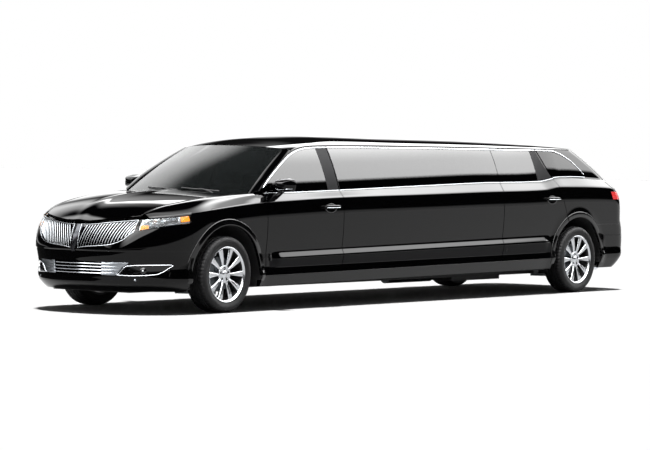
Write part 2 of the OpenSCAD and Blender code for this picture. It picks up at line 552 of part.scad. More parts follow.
// Front pillar from the windshield edge to the door top line
module front_pillar() {
    n = 8;
    outer = [for (j = [0:n]) let (v = j / n, p = shield_pt(1, v) + [0, seat, 0],
        x = mix(door_f0 + 45, header(header_half + 100) + seat, v),
        z = wall_top(x) + gap, d = [x, side_y(x, z), z]) [p, mix(p, d, 0.5) + [4, 3, 6], d]];
    shell(outer, [for (j = [0:n]) [for (k = [0:2])
        outer[j][k] + [[-10, 0, -32], [-20, -30, -36], [0, -50, -2]][k] * mix(0.5, 1, j / n)]]);
}
roof_x1 = xr - 196;
module roof() {
    us = [-1, -0.96, -0.88, -0.76, -0.6, -0.4, -0.2, 0, 0.2, 0.4, 0.6, 0.76, 0.88, 0.96, 1];
    vs = [0, 0.03, 0.07, 0.13, 0.22, 0.36, 0.52, 0.68, 0.82, 0.92, 1];
    x1 = roof_x1;
    at = function (u, v) let (y0 = u * (header_half + 105), x = mix(header(y0), x1, v), y = u * roof_half(x))
        [x, y, roof_z(x, y)];
    outer = [for (u = us) [for (v = vs) at(u, v)]];
    color(paint) shell(outer, [for (i = [0:len(us) - 1]) [for (p = outer[i])
        [p[0], p[1] * 0.955, p[2] - 0.5 - 24 * min(1, (1 - abs(us[i])) / 0.1)]]]);
}
module stretch_side() {
    difference() {
        side_panel(line_s0, line_s1, [0, 0.04, 0.25, 0.5, 0.75, 0.96, 1], 1, 17, lift = seat,
            glaze = glass_t + bed,
            crown = gap - 3 * seat);
        side_cut(opening(door_f1 - 75, door_r0 + 75, 8));
    }
}
module quarter_panel() {
    cols = [0, 0.06, 0.16, 0.28, 0.4, 0.52, 0.64, 0.74, 0.83, 0.91, 0.96, 1];
    difference() {
        side_panel(line_q0, line_q1, cols, 5, 17, base = bumper_z, glaze = glass_t + bed, wall = 34,
            turn = 1,
            crown = gap - 3 * seat);
        side_cut(quarter_opening());
        arch_cut(xr, rear_arch_z, rear_arch_r);
        tail_lamp_cut();
    }
}
// Corner lamp cut out of the quarter panel; the lamp is the same block, smaller by the seat
module tail_lamp_cut() {
    translate([xr - 1100, half_w - 465, lamp_z0]) cube([350, 460, lamp_z1 - lamp_z0]);
}
lamp_z0 = up(1036);
lamp_z1 = up(1126);
module tail_lamp() {
    outer = [for (k = [0, 0.25, 0.5, 0.75, 1]) [for (r = [0, 0.5, 1])
        let (z = mix(lamp_z0 + seat, lamp_z1 - seat, r),
        x = mix(xr - 750 - seat, quarter_rear(z), k)) [x, side_y(x, z), z]]];
    shell(outer, [for (i = [0:4]) [for (p = outer[i]) p + mix([0, -34, 0], [30, -4, 0], ease(i / 4))]]);
}
module rear_bumper() {
    qs = [for (k = [-14:14]) k / 14];
    ks = [0, 0.2, 0.4, 0.6, 0.8, 1];
    x0 = xr - 250;
    at = function (q, k) let (z = mix(262, bumper_z - seat, k), xs = tail_at(z) + tail_len,
        a = abs(q) * 1.5)
        a <= 1 ? [tail_pt(sign(q) * a, z), tail_in(sign(q) * a, 24)] : let (x = mix(xs, x0, (a - 1) / 0.5))
        [[x, sign(q) * side_y(x, z), z], [0, -sign(q) * 24, 0]];
    outer = [for (q = qs) [for (k = ks) at(q, k)[0]]];
    inner = [for (q = qs) [for (k = ks) at(q, k)[0] + at(q, k)[1]]];
    color(paint) difference() {
        shell(outer, inner);
        both() arch_cut(xr, rear_arch_z, rear_arch_r);
    }
}
bumper_z = up(760);
// Tailgate from the roof to the bumper, with its window
gate_top = up(1560);
gate_zs = [bumper_z + gap, for (z = [820, 900, 960, 1030, 1132, 1202, 1343, 1474]) up(z), gate_top];
// Window of the gate: half widths and heights of its foot and head
gate_window = [[wide(560), up(1245)], [wide(520), up(1530)]];
gate_pane = [[wide(600), up(1232)], [wide(545), up(1540)]];
gate_lip = 4;
function gate_half(z) = side_y(quarter_rear(z), z) - gap - 4;
module tailgate() {
    us = [for (k = [-7:7]) k / 7];
    outer = [for (u = us) concat([for (z = gate_zs) let (y = u * gate_half(z)) [tail_x(y, z), y, z]],
        [let (y = u * (gate_half(gate_top) - gap)) [gate_x0, y, roof_z(gate_x0, y) - gate_lip]])];
    inner = [for (c = outer) [for (j = [0:len(c) - 1]) c[j] + [j == len(c) - 1 ? -2 : 18, -0.02 * c[j][1],
        j == 0 ? 0 : -20]]];
    color(paint) difference() {
        shell(outer, inner);
        gate_opening();
        for (s = [-1, 1]) translate([gate_hinge_x - 16, s * gate_hinge_y - 40, gate_hinge_z - 52])
            cube([60, 80, 120]);
    }
    color(paint) for (s = [-1, 1]) translate([gate_hinge_x, s * gate_hinge_y, gate_hinge_z]) {
        translate([0, 14, 0]) rotate([90, 0, 0]) linear_extrude(28)
            polygon([[6, -8], [6, 6], for (d = [-20, -80]) [d, gate_panel(d) - 6],
                for (d = [-80, -20]) [d, gate_panel(d) - 16]]);
        translate([0, -36, 0]) rotate([-90, 0, 0]) cylinder(r = lid_pin_r, h = 72);
    }
}
// Height of the gate's upper panel over the hinge axis, at a distance from it
function gate_panel(d) = let (y = gate_hinge_y, x1 = tail_x(y, gate_top))
    mix(roof_z(gate_x0, y) - gate_lip, gate_top, (gate_x0 - gate_hinge_x - d) / (gate_x0 - x1))
    - gate_hinge_z;
gate_x0 = roof_x1 - 20;
gate_hinge_x = gate_x0 - 17;
gate_hinge_y = wide(450);
gate_hinge_z = roof_z(gate_x0, gate_hinge_y) - 20;
module gate_opening() {
    translate([xr - 1000, 0, 0]) rotate([90, 0, 90]) linear_extrude(800)
        polygon([[-gate_window[0][0], gate_window[0][1]], each gate_window,
            [-gate_window[1][0], gate_window[1][1]]]);
}
module gate_glass() {
    us = [for (k = [-5:5]) k / 5];
    ts = [0, 0.19, 0.36, 0.58, 0.79, 1];
    outer = [for (u = us) [for (t = ts) let (e = mix(gate_pane[0], gate_pane[1], t), y = u * e[0])
        [tail_x(y, e[1]) - 1.2 - glass_t, y, e[1]]]];
    color(glass) shell(outer, [for (c = outer) [for (p = c) p + [glass_t, 0, 0]]]);
}
// Ears of the tailgate hinges, seated under the roof's rear edge
module gate_hinges() {
    color(steel) for (s = [-1, 1], k = [-1, 1]) let (y = s * gate_hinge_y + k * 26,
        yo = gate_hinge_y + s * k * 26 + 8,
        drop = function (d) roof_z(gate_hinge_x + d, yo) - 26 - gate_hinge_z)
        translate([gate_hinge_x, y + 8, gate_hinge_z]) rotate([90, 0, 0]) linear_extrude(16) difference() {
            union() {
                circle(r = 9.5);
                polygon([[-5, -8], [5, 8], [30, drop(37) - 3], [50, drop(50) - 0.9], [50, -22], [20, -20]]);
            }
            circle(r = lid_pin_r + fit);
        }
}
// Sill below the doors
sill_in = half_w - 133;
module sill() {
    xs = [for (k = [0, 0.03, 0.25, 0.5, 0.75, 0.97, 1]) mix(door_f0 + 60, xr + 500, k)];
    outer = [for (x = xs) [for (k = [0, 0.3, 0.7, 1]) let (z = mix(level(0, x), level(1, x), k))
        [x, side_y(x, z), z]]];
    shell(outer, [for (c = outer) [for (p = c) [p[0], sill_in + seat, p[2]]]]);
}
// Floor with its tunnel and jack pads
floor_z = 262;
floor_t = 20;
rail_y1 = wheel_y - 326;
rail_y0 = rail_y1 - 110;
tunnel_w = wide(240);
module floor_pan() {
    half = [[xf - 515, rail_y1 - seat], [xf - 515, sill_in], [xr + 500, sill_in],
        [xr + 495, rail_y1 - seat],
        [xr - 500, rail_y1 - seat], [xr - 520, half_w - 165], [xr - 850, half_w - 265]];
    color(trim) translate([0, 0, floor_z]) linear_extrude(floor_t)
        polygon(concat(half, [for (i = [len(half) - 1:-1:0]) [half[i][0], -half[i][1]]]));
    color(trim) translate([xr + 1000, -tunnel_w / 2, floor_z + floor_t - 1])
        cube([wheelbase - 1600, tunnel_w, 60]);
    color(trim) for (x = JACK_X, s = [-1, 1]) translate([x - 45, s * jack_y - 35, jack_z])
        cube([90, 70, floor_z - jack_z + 1]);
}
// Frame rails, each with a threaded towing socket in its rear end, and the crossbeam between their front ends
module frame_rails() {
    h = floor_z - seat - rail_z;
    color(trim) both() difference() {
        translate([xr - 840, rail_y0, rail_z]) cube([wheelbase + 1740, rail_y1 - rail_y0 - seat, h]);
        translate([xr - 850, tow_y, tow_z]) rotate([0, 90, 0]) cylinder(r = tow_r, h = 10 + tow_len);
    }
    color(trim) translate([xf + 860, seat - rail_y0, rail_z]) cube([40, 2 * (rail_y0 - seat), h]);
}
jack_y = half_w - 185;
tow_y = rail_y0 + 55;
tow_z = 232;
tow_r = 8.2;
tow_len = 45;
rail_z = 202;
jack_z = 226;
JACK_X = [door_f0 - 200, xr + 640];
module wheel_liner(x, z, r, y1) {
    difference() {
        translate([x, rail_y1, z]) rotate([-90, 0, 0]) cylinder(r = r + 3, h = y1 - rail_y1, $fn = 96);
        translate([x, rail_y1 + 5, z]) rotate([-90, 0, 0]) cylinder(r = r, h = 600, $fn = 96);
        translate([x - 700, rail_y1 - 100, -500]) cube([1400, 700, 740]);
    }
}

// Tyre and rim round the wheel axis, outer side towards +Z
bead_r = rim_d / 2;
module tyre() {
    w = tyre_w / 2;
    rotate_extrude($fn = 72) polygon([[bead_r, -104], [bead_r, 104], [bead_r + 18, 108], [bead_r + 55, w],
        [wheel_r - 17, w - 12], [wheel_r, w - 44], [wheel_r, 44 - w], [wheel_r - 17, 12 - w],
            [bead_r + 55, -w],
        [bead_r + 18, -108]]);
}
rim_face = 104;
hub_face = 80;
module rim() {
    r = bead_r - seat;
    difference() {
        union() {
            rotate_extrude($fn = 96) polygon([[r, -107], [r + 10, -107], [r + 10, -113], [r - 12, -113],
                [r - 12, 70],
                [r - 22, 84], [r - 22, rim_face - 8], [r + 4, 114], [r + 11, 114], [r + 11, 107.2],
                    [r, 107.2]]);
            for (k = [0:spokes - 1]) rotate([0, 0, k * 360 / spokes - spoke_deg / 2])
                rotate_extrude(angle = spoke_deg, $fn = 96)
                    polygon([[40, hub_face - 26], [r - 10, rim_face - 34],
                    [r - 10, rim_face - 2], [150, rim_face - 6], [70, hub_face - 2], [40, hub_face - 2]]);
            translate([0, 0, 20]) cylinder(r = 82, h = hub_face - 20);
            translate([0, 0, hub_face - 1]) cylinder(r1 = 36, r2 = 32, h = 9);
            translate([0, 0, -14]) cylinder(r = 168, h = 24);
            cylinder(r = 72, h = 30);
        }
        translate([0, 0, -20]) cylinder(r = spindle_r + fit, h = 66);
        for (k = [0:studs - 1]) rotate([0, 0, k * 360 / studs + 18])
            translate([stud_circle / 2, 0, hub_face - 22])
            cylinder(r = 13, h = 40);
    }
}
module at_wheel(x) {
    translate([x, wheel_y, wheel_r]) rotate([-90, 0, 0]) children();
}
// Front upright with its spindle and steering pins, about the wheel centre
arm_drop = 184;
strut_in = 186;
module knuckle() {
    translate([xf - 26, king_y - 26, wheel_r - arm_drop + 32]) cube([52, 52, 2 * arm_drop - 64]);
    translate([xf, king_y, wheel_r - arm_drop - 24]) cylinder(r = king_pin_r, h = 2 * arm_drop + 48);
    translate([xf, king_y, wheel_r]) rotate([-90, 0, 0]) cylinder(r = spindle_r, h = king_offset + 44);
    translate([xf, king_y + 20, wheel_r]) rotate([-90, 0, 0]) cylinder(r = 46, h = 18);
}
module wishbone(x, z, y0, spread) {
    translate([0, 0, z]) linear_extrude(30) union() {
        translate([x, king_y]) circle(r = 24);
        polygon([[x - 22, king_y], [x - spread, y0], [x + spread, y0], [x + 22, king_y]]);
    }
}
module front_arms() {
    difference() {
        union() {
            wishbone(xf, wheel_r - arm_drop - 15, rail_y0 + 20, 160);
            wishbone(xf, wheel_r + arm_drop - 15, rail_y1 + 5 + seat, 60);
        }
        translate([xf, king_y, 0]) cylinder(r = king_pin_r + fit, h = 900);
    }
    translate([xf, king_y - strut_in, wheel_r + arm_drop + 15 + seat]) cylinder(r = 32, h = 230);
}
module rear_arms() {
    translate([xr - 26, king_y - 26, wheel_r - arm_drop - 10]) cube([52, 52, 2 * arm_drop + 20]);
    translate([xr, king_y, wheel_r]) rotate([-90, 0, 0]) cylinder(r = spindle_r, h = king_offset + 44);
    wishbone(xr, wheel_r - arm_drop - 15, rail_y0 + 20, 160);
    wishbone(xr, wheel_r + arm_drop - 15, rail_y1 + 5 + seat, 60);
    translate([xr, king_y - strut_in, wheel_r + arm_drop + 14]) cylinder(r = 32, h = 200);
}

// Under the hood, under the floor and in the cabin
module engine() {
    cradle = rail_y1 - 80;
    color(steel) translate([xf - 180, -cradle, floor_z]) cube([560, 2 * cradle, 38]);
    color(steel) translate([xf - 150, -330, floor_z + 37]) cube([500, 660, 480]);
}
pipe_y = 140 - rail_y0;
pipe_r = 32;
module exhaust() {
    color(steel) translate([xr + 700, pipe_y, 200]) rotate([0, 90, 0])
        cylinder(r = pipe_r, h = wheelbase - 1300);
    color(steel) translate([xr + 1200, pipe_y, floor_z - seat - 75]) rotate([0, 90, 0])
        cylinder(r = 75, h = 800);
}
module fuel_tank() {
    y0 = pipe_y + pipe_r + 138;
    color(trim) translate([xr + 700, y0, 150]) cube([900, rail_y0 - 30 - y0, floor_z - seat - 150]);
}
dash_x = bulkhead_x - seat;
wheel_tilt = 24;
dash_half = wide(720);
// Outline of the dashboard: distance behind the bulkhead, height
DASH = [[0, 690], [180, 640], [330, 760], [350, 930], [260, 1020], [60, 1060], [0, 1040]];
module dashboard() {
    color(trim) difference() {
        translate([0, dash_half, 0]) rotate([90, 0, 0]) linear_extrude(2 * dash_half)
            polygon([for (p = DASH) [dash_x - p[0], up(p[1])]]);
        steer_frame() cylinder(r = 18 + fit, h = 300);
    }
}
module steer_frame() {
    translate([dash_x - 470, wide(370), up(960)]) rotate([0, 90 + wheel_tilt, 0]) children();
}
module steering_wheel() {
    color(trim) steer_frame() {
        cylinder(r = 18, h = 220);
        translate([0, 0, -20]) cylinder(r = 62, h = 30);
        rotate_extrude($fn = 64) translate([182, 0]) circle(r = 15, $fn = 24);
        for (k = [0, 120, 240]) rotate([0, 0, k]) translate([40, -14, -9]) cube([130, 28, 16]);
    }
}
seat_z = floor_z + floor_t + seat;
module chair(x, y, w) {
    translate([x - 250, y - w / 2, seat_z]) cube([500, w, 190]);
    translate([x - 280, y - w / 2, seat_z + 189]) cube([560, w, 130]);
    translate([x - 280, y - w / 2 + 5, seat_z + 318]) rotate([0, -16, 0]) cube([130, w - 10, 560]);
    translate([x - 436, y - 130, seat_z + 846]) rotate([0, -16, 0]) cube([90, 260, 170]);
}
module front_seats() {
    color(hide) for (s = [-1, 1]) chair(xf - 1520, s * wide(390), wide(500));
}
bench_half = min(rail_y1 - 20, half_w - 485);
side_bench = half_w - 201;
module lounge() {
    color(hide) translate([xr + 330, -bench_half, seat_z]) cube([600, 2 * bench_half, 300]);
    color(hide) translate([xr + 331, -bench_half, seat_z + 290]) rotate([0, -14, 0])
        cube([140, 2 * bench_half, 560]);
    color(hide) translate([xr + 960, -side_bench, seat_z]) cube([2450, 520, 300]);
    color(hide) translate([xr + 960, -side_bench, seat_z + 299]) cube([2450, 130, 380]);
}

// Every sub-part by its own name
module hinge_pillars() {
    color(trim) both() {
        hinge_pillar(door_f0);
        hinge_pillar(door_r0);
    }
}
module sills() {
    color(paint) both() sill();
}
module fenders() {
    color(paint) both() fender();
}
module front_lamps() {
    color(lamp_clear) both() front_lamp();
}
module front_pillars() {
    color(paint) both() front_pillar();
}
module stretch_sides() {
    color(paint) both() stretch_side();
}
module side_glass() {
    color(glass) both() {
        pane(door_f1 - 10, door_r0 + 1, 6);
        quarter_glass();
    }
}
module quarter_panels() {
    color(paint) both() quarter_panel();
}
module tail_lamps() {
    color(lamp_red) both() tail_lamp();
}
module wheel_liners() {
    color(trim) both() {
        wheel_liner(xf, front_arch_z, front_arch_r, half_w - 71);
        wheel_liner(xr, rear_arch_z, rear_arch_r, half_w - 123);
    }
}
module front_suspension() {
    color(steel) both() front_arms();
}
module rear_suspension() {
    color(steel) both() rear_arms();
}
module front_door_left() {
    color(paint) {
        front_door();
        handle(door_f0 - 991, up(1005));
        mirror_pod();
    }
}
module front_door_right() {
    mirror([0, 1, 0]) front_door_left();
}
module rear_door_left() {
    color(paint) {
        rear_door();
        handle(xr + 545, up(1055));
    }
}
module rear_door_right() {
    mirror([0, 1, 0]) rear_door_left();
}
module front_glass_left() {
    color(glass) pane(door_f0 - 45, door_f1 + 185, 8);
}
module front_glass_right() {
    mirror([0, 1, 0]) front_glass_left();
}
module rear_glass_left() {
    color(glass) pane(door_r0 - gap, xr + 735, 4, 12);
}
module rear_glass_right() {
    mirror([0, 1, 0]) rear_glass_left();
}
module knuckle_left() {
    color(steel) knuckle();
}
module knuckle_right() {
    mirror([0, 1, 0]) knuckle_left();
}
module tyre_front_left() {
    color(rubber) at_wheel(xf) tyre();
}
module tyre_front_right() {
    mirror([0, 1, 0]) tyre_front_left();
}
module tyre_rear_left() {
    color(rubber) at_wheel(xr) tyre();
}
module tyre_rear_right() {
    mirror([0, 1, 0]) tyre_rear_left();
}
module rim_front_left() {
    color(chrome) at_wheel(xf) rim();
}
module rim_front_right() {
    mirror([0, 1, 0]) rim_front_left();
}
module rim_rear_left() {
    color(chrome) at_wheel(xr) rim();
}
module rim_rear_right() {
    mirror([0, 1, 0]) rim_rear_left();
}

floor_pan();
frame_rails();
hinge_pillars();
cowl_bulkhead();
hood_hinges();
cowl_panel();
sills();
fenders();
front_bumper();
grille();
lower_grille();
front_lamps();
front_pillars();
windshield();
roof();
stretch_sides();
side_glass();
quarter_panels();
tail_lamps();
rear_bumper();
gate_hinges();
wheel_liners();
front_suspension();
rear_suspension();
engine();
exhaust();
fuel_tank();
dashboard();
front_seats();
lounge();
hood();
tailgate();
gate_glass();
front_door_left();
front_door_right();
rear_door_left();
rear_door_right();
front_glass_left();
front_glass_right();
rear_glass_left();
rear_glass_right();
knuckle_left();
knuckle_right();
tyre_front_left();
tyre_front_right();
tyre_rear_left();
tyre_rear_right();
rim_front_left();
rim_front_right();
rim_rear_left();
rim_rear_right();
steering_wheel();
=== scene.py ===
# %% [markdown]
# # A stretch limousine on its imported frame
# The CAD part gives every piece its place, its joint and its plain solid. This lesson dresses
# that frame: each body panel becomes a fine surface worked out with numpy, and lamps, trim,
# tread and seats are added to it. Everything is in the part's own frame, +X forward, +Y to the
# left side and +Z up, so a piece needs no fitting afterwards.

# %% Load the frame
import bpy
import bmesh
import numpy as np
from mathutils import Matrix, Vector


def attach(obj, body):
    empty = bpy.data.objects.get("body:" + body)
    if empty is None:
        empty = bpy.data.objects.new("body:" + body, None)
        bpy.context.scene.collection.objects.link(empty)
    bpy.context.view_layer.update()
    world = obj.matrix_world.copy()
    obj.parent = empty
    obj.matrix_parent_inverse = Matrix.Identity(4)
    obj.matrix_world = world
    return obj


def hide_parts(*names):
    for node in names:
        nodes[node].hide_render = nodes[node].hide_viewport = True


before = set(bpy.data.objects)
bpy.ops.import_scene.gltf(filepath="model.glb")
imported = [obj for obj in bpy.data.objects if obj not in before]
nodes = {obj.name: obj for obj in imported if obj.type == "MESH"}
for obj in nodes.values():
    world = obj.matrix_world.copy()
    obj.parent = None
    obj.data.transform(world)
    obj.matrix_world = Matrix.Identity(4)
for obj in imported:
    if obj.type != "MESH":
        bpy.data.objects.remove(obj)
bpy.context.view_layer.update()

# %% [markdown]
# ## The car's own sizes
# The part was drawn in millimetres from a few named sizes and short tables, and the same numbers are used
# here. A mesh is multiplied by MM when it is made, so the formulas below read like the drawing.

# %% Main sizes and guide curves, in millimetres
MM = 0.001
wheelbase, front_overhang, rear_overhang, half_w = 6045.0, 1185.0, 1095.0, 965.0
xf = (wheelbase + rear_overhang - front_overhang) / 2
xr = xf - wheelbase
gap, seat, glass_t, bed, frame_w, bond = 8.0, 0.4, 6.0, 1.3, 42.0, 30.0
door_f0, door_f1, door_r0 = xf - 580, xf - 1785, xr + 1465
wheel_r, wheel_y = 369.0, 826.0
front_arch, rear_arch, flare = (xf, 343.0, 500.0), (xr, 369.0, 475.0), 9.0
nose_len, nose_pow, tail_len, tail_pow, tail_corner = 800.0, 2.3, 300.0, 3.4, 70.0
bumper_z = 760.0
shield_foot, shield_head, hood_tip = 790.0, 640.0, 612.0

# Each table has two columns: place along the guide, and its height or reach there
NOSE = np.array([[200, 1010], [260, 1075], [340, 1105], [480, 1118], [560, 1140], [640, 1146], [740, 1128],
                 [830, 1094], [880, 1062], [960, 1000]], float)
TAIL = np.array([[240, 930], [300, 1010], [380, 1062], [520, 1092], [680, 1090], [740, 1066], [800, 1040],
                 [956, 1022], [1030, 1005], [1132, 944], [1202, 870], [1343, 682], [1474, 482], [1560, 345],
                 [1620, 250]], float)
SHOULDER = np.array([[xr - 1200, 1125], [xr - 900, 1150], [xr - 482, 1174], [xr + 260, 1184],
                     [xr + 420, 1180], [xr + 672, 1152], [xr + 1800, 1136], [xf - 3222, 1119],
                     [xf - 1735, 1098], [xf - 778, 1066], [xf - 463, 1052], [xf + 150, 1000], [xf + 556, 955],
                     [xf + 850, 928], [xf + 960, 900], [xf + 1090, 850]])
BELT = np.array([[xr - 1200, 1190], [xr - 900, 1235], [xr - 200, 1280], [xr + 300, 1284], [xr + 430, 1276],
                 [xr + 700, 1243], [xr + 1800, 1230], [xf - 3294, 1206], [xf - 1145, 1150], [xf - 480, 1140],
                 [xf + 300, 1120], [xf + 1200, 1060]])
WALL_TOP = np.array([[xr - 1200, 1575], [xr - 200, 1590], [xr + 700, 1598], [xf - 3100, 1610],
                     [xf - 1620, 1606], [xf - 1334, 1582], [xf - 1109, 1508], [xf - 739, 1306],
                     [xf - 560, 1178], [xf - 400, 1060]])
CROWN = np.array([[xr - 320, 1592], [xr - 160, 1626], [xr + 250, 1656], [xr + 1490, 1690], [xf - 3108, 1704],
                  [xf - 2050, 1712], [xf - 1600, 1684], [xf - 1250, 1634], [xf - 1070, 1606]])
HOOD_MID = np.array([[xf - 700, 1168], [xf - 420, 1162], [xf - 100, 1154], [xf + 285, 1132], [xf + 620, 1090],
                     [xf + 850, 1040], [xf + 960, 990], [xf + 1030, 930], [xf + 1085, 866]])
HOOD_SIDE = np.array([[xf - 700, 1150], [xf - 420, 1140], [xf - 137, 1122], [xf + 198, 1096],
                      [xf + 564, 1040], [xf + 750, 992], [xf + 850, 950], [xf + 960, 885], [xf + 1085, 790]])
BUMPER_TOP = np.array([[0, 600], [120, 622], [400, 648], [520, 690], [600, 765], [645, 795], [930, 868],
                       [990, 872]], float)
DOOR_REAR = np.array([[200, 218], [790, 218], [1000, 295], [1187, 384], [1284, 450], [1420, 545],
                      [1600, 625]], float)
# Side section: height at the front axle, rise to the rear axle, inset from the full width
LEVELS = np.array([[233, 50, 62], [335, 65, 12], [412, 52, 30], [494, 87, 5], [559, 101, 33]], float)
print("axles at", xf, "and", xr)

# %% [markdown]
# ## The body surface as formulas
# A car body could be pushed into shape by hand, vertex by vertex, but then no two panels would meet exactly.
# Here the whole side is one formula, side_y(x, z): how far out the skin lies at a station and a height. Every
# panel, pane and chrome strip asks the same formula, so all of them lie on one surface.

# %% Guide curves
def mix(a, b, t):
    """Straight blend: a where t is 0, b where t is 1."""
    return a + (b - a) * t


def ease(t):
    """S-curve from 0 to 1: 3t² - 2t³, level at both ends."""
    k = np.clip(t, 0, 1)
    return k * k * (3 - 2 * k)


def curve(tab, v):
    """Smooth curve through a table: cubic pieces whose end slopes are the chord
    between the two neighbours."""
    k, h = tab[:, 0], tab[:, 1]
    v = np.clip(v, k[0], k[-1])
    i = np.clip(np.searchsorted(k, v, side="right") - 1, 0, len(k) - 2)
    lo, hi = np.maximum(np.arange(len(k)) - 1, 0), np.minimum(np.arange(len(k)) + 1, len(k) - 1)
    slope = (h[hi] - h[lo]) / (k[hi] - k[lo])
    w, d = k[i + 1] - k[i], h[i + 1] - h[i]
    t, a, b = (v - k[i]) / w, slope[i] * w, slope[i + 1] * w
    return h[i] + a * t + (3 * d - 2 * a - b) * t**2 + (a + b - 2 * d) * t**3


def level(i, x):
    """Height of one section line: its height at the front axle plus its rise towards the rear axle."""
    return LEVELS[i, 0] + LEVELS[i, 1] * (xf - x) / wheelbase


def shoulder(x):
    """Height of the shoulder line: a smooth curve through its table."""
    return curve(SHOULDER, x)


def belt(x):
    """Height of the belt line below the glass: a smooth curve through its table."""
    return curve(BELT, x)


def wall_top(x):
    """Height of the top line of doors and walls: a smooth curve through its table."""
    return curve(WALL_TOP, x)


print("shoulder at the front axle:", float(shoulder(np.array(xf))), "mm")


# %% Section of the side
def section(x, z):
    """Inset of the side from the full width: straight between the lower lines, two bows about the waist, a
    slope from shoulder to belt, and above it the glass leaning in more and more."""
    line = [level(i, x) for i in range(5)]
    step = [LEVELS[i, 2] + 0 * x for i in range(5)]
    step[3] = mix(31, LEVELS[3, 2], ease((door_f0 - 90 - x) / 120) * ease((x - xr - 540) / 120))
    sh, b = shoulder(x), belt(x)
    waist = mix(line[4], sh, 0.66)
    lower = [mix(step[i], step[i + 1], np.maximum(-0.5, (z - line[i]) / (line[i + 1] - line[i])))
             for i in range(4)]
    return np.select(
        [z < line[1], z < line[2], z < line[3], z < line[4], z < waist, z < sh, z < b],
        lower + [9 + 24 * ((waist - z) / (waist - line[4]))**2, 9 + 11 * ((z - waist) / (sh - waist))**2,
                 mix(20, 78, (z - sh) / (b - sh))],
        78 + (z - b) * mix(0.27, 0.42, np.clip((z - b) / 450, 0, 1)))


def flare_at(x, z):
    """Lip round a wheel arch: full at the arch, eased to nothing 60 mm from the
    front and 130 mm from the rear one."""
    f = np.hypot(x - front_arch[0], z - front_arch[1]) - front_arch[2]
    r = np.hypot(x - rear_arch[0], z - rear_arch[1]) - rear_arch[2]
    return np.where(z > shoulder(x), 0, flare * np.maximum(ease(1 - f / 60), ease(1 - r / 130)))


def inset(x, z):
    """The section with its creases rounded: the mean of five samples over 14 mm of height."""
    return sum(section(x, z + d) for d in (-7, -3.5, 0, 3.5, 7)) / 5


print("inset of the waist:", round(float(inset(np.array(0.0), np.array(900.0))), 1), "mm")


# %% The side surface
def taper(t, n):
    """Superellipse quarter: (1 - tⁿ)^(1/n), 1 before its start and 0 after its end."""
    return (1 - np.clip(t, 0, 1)**n)**(1 / n)


def nose_at(z):
    """Foremost station of the nose at a height: the front axle plus its table."""
    return xf + curve(NOSE, z)


def tail_at(z):
    """Rearmost station of the tail at a height: the rear axle less its table."""
    return xr - curve(TAIL, z)


def side_y(x, z):
    """Half width of the body: full width less the inset plus the arch lip, rounded in at both ends."""
    return ((half_w - inset(x, z) + flare_at(x, z)) * taper((x - nose_at(z)) / nose_len + 1, nose_pow)
            * taper((tail_at(z) - x) / tail_len + 1, tail_pow))


def side_pt(x, z):
    """Point on the left side at a station and a height, half width from side_y."""
    return np.stack(np.broadcast_arrays(x, side_y(x, z), z), -1)


def side_normal(x, z):
    """Outward direction of the left side, from the slopes of side_y over 4 mm."""
    n = np.stack(np.broadcast_arrays((side_y(x - 2, z) - side_y(x + 2, z)) / 4, np.ones_like(x + z),
                                     (side_y(x, z - 2) - side_y(x, z + 2)) / 4), -1)
    return n / np.linalg.norm(n, axis=-1, keepdims=True)


print("half width at the front door:",
      round(float(side_y(np.array(door_f0 - 400), np.array(900.0))), 1), "mm")


# %% The nose
def nose_w(z):
    """Half width where the nose begins: full width less the inset plus the arch lip."""
    return half_w - inset(xf + 500 + 0 * z, z) + flare_at(xf + 520 + 0 * z, z)


def nose_pt(q, z):
    """Point of the nose: q runs from -1 on the right to 1 on the left round a superellipse in plan."""
    a = np.abs(q) * np.pi / 2
    return np.stack([nose_at(z) - nose_len + nose_len * np.cos(a)**(2 / nose_pow),
                     np.sign(q) * nose_w(z) * np.sin(a)**(2 / nose_pow), z + 0 * q], -1)


def nose_x(y, z):
    """Station of the nose at a width and a height: the superellipse in plan."""
    return nose_at(z) - nose_len + nose_len * taper(np.abs(y) / nose_w(z), nose_pow)


def nose_share(x, z):
    """Which q of nose_pt stands at a station: the same superellipse read backwards."""
    return np.arccos(np.clip((x - nose_at(z)) / nose_len + 1, 0, 1)**(nose_pow / 2)) / (np.pi / 2)


def nose_share_y(y, z):
    """Which q of nose_pt stands at a width: the same superellipse read backwards."""
    return np.arcsin(np.clip(np.abs(y) / nose_w(z), 0, 1)**(nose_pow / 2)) / (np.pi / 2)


print("nose at the bumper:", round(float(nose_at(np.array(600.0)))), "mm from the middle of the car")


# %% The tail and the shut lines
def tail_w(z):
    """Half width where the tail begins: full width less the inset."""
    return half_w - inset(xr - 700 + 0 * z, z)


def tail_pt(q, z):
    """Point of the tail: q runs from -1 on the right to 1 on the left round a squarer superellipse."""
    a = np.abs(q) * np.pi / 2
    return np.stack([tail_at(z) + tail_len - tail_len * np.cos(a)**(2 / tail_pow),
                     np.sign(q) * tail_w(z) * np.sin(a)**(2 / tail_pow), z + 0 * q], -1)


def tail_x(y, z):
    """Station of the tail at a width and a height: the superellipse in plan."""
    return tail_at(z) + tail_len - tail_len * taper(np.abs(y) / tail_w(z), tail_pow)


def door_rear(z):
    """Station of the shut line behind the rear door at a height: the rear axle plus its table."""
    return xr + curve(DOOR_REAR, z)


def quarter_rear(z):
    """Station where the quarter panel meets the gate: the tail plus its corner."""
    return tail_at(z) + tail_corner


def bumper_top(y):
    """Upper edge of the front bumper at a width: its table, the same on both sides."""
    return curve(BUMPER_TOP, np.abs(y))


print("tail at the bumper:", round(float(tail_at(np.array(600.0)))), "mm from the middle of the car")


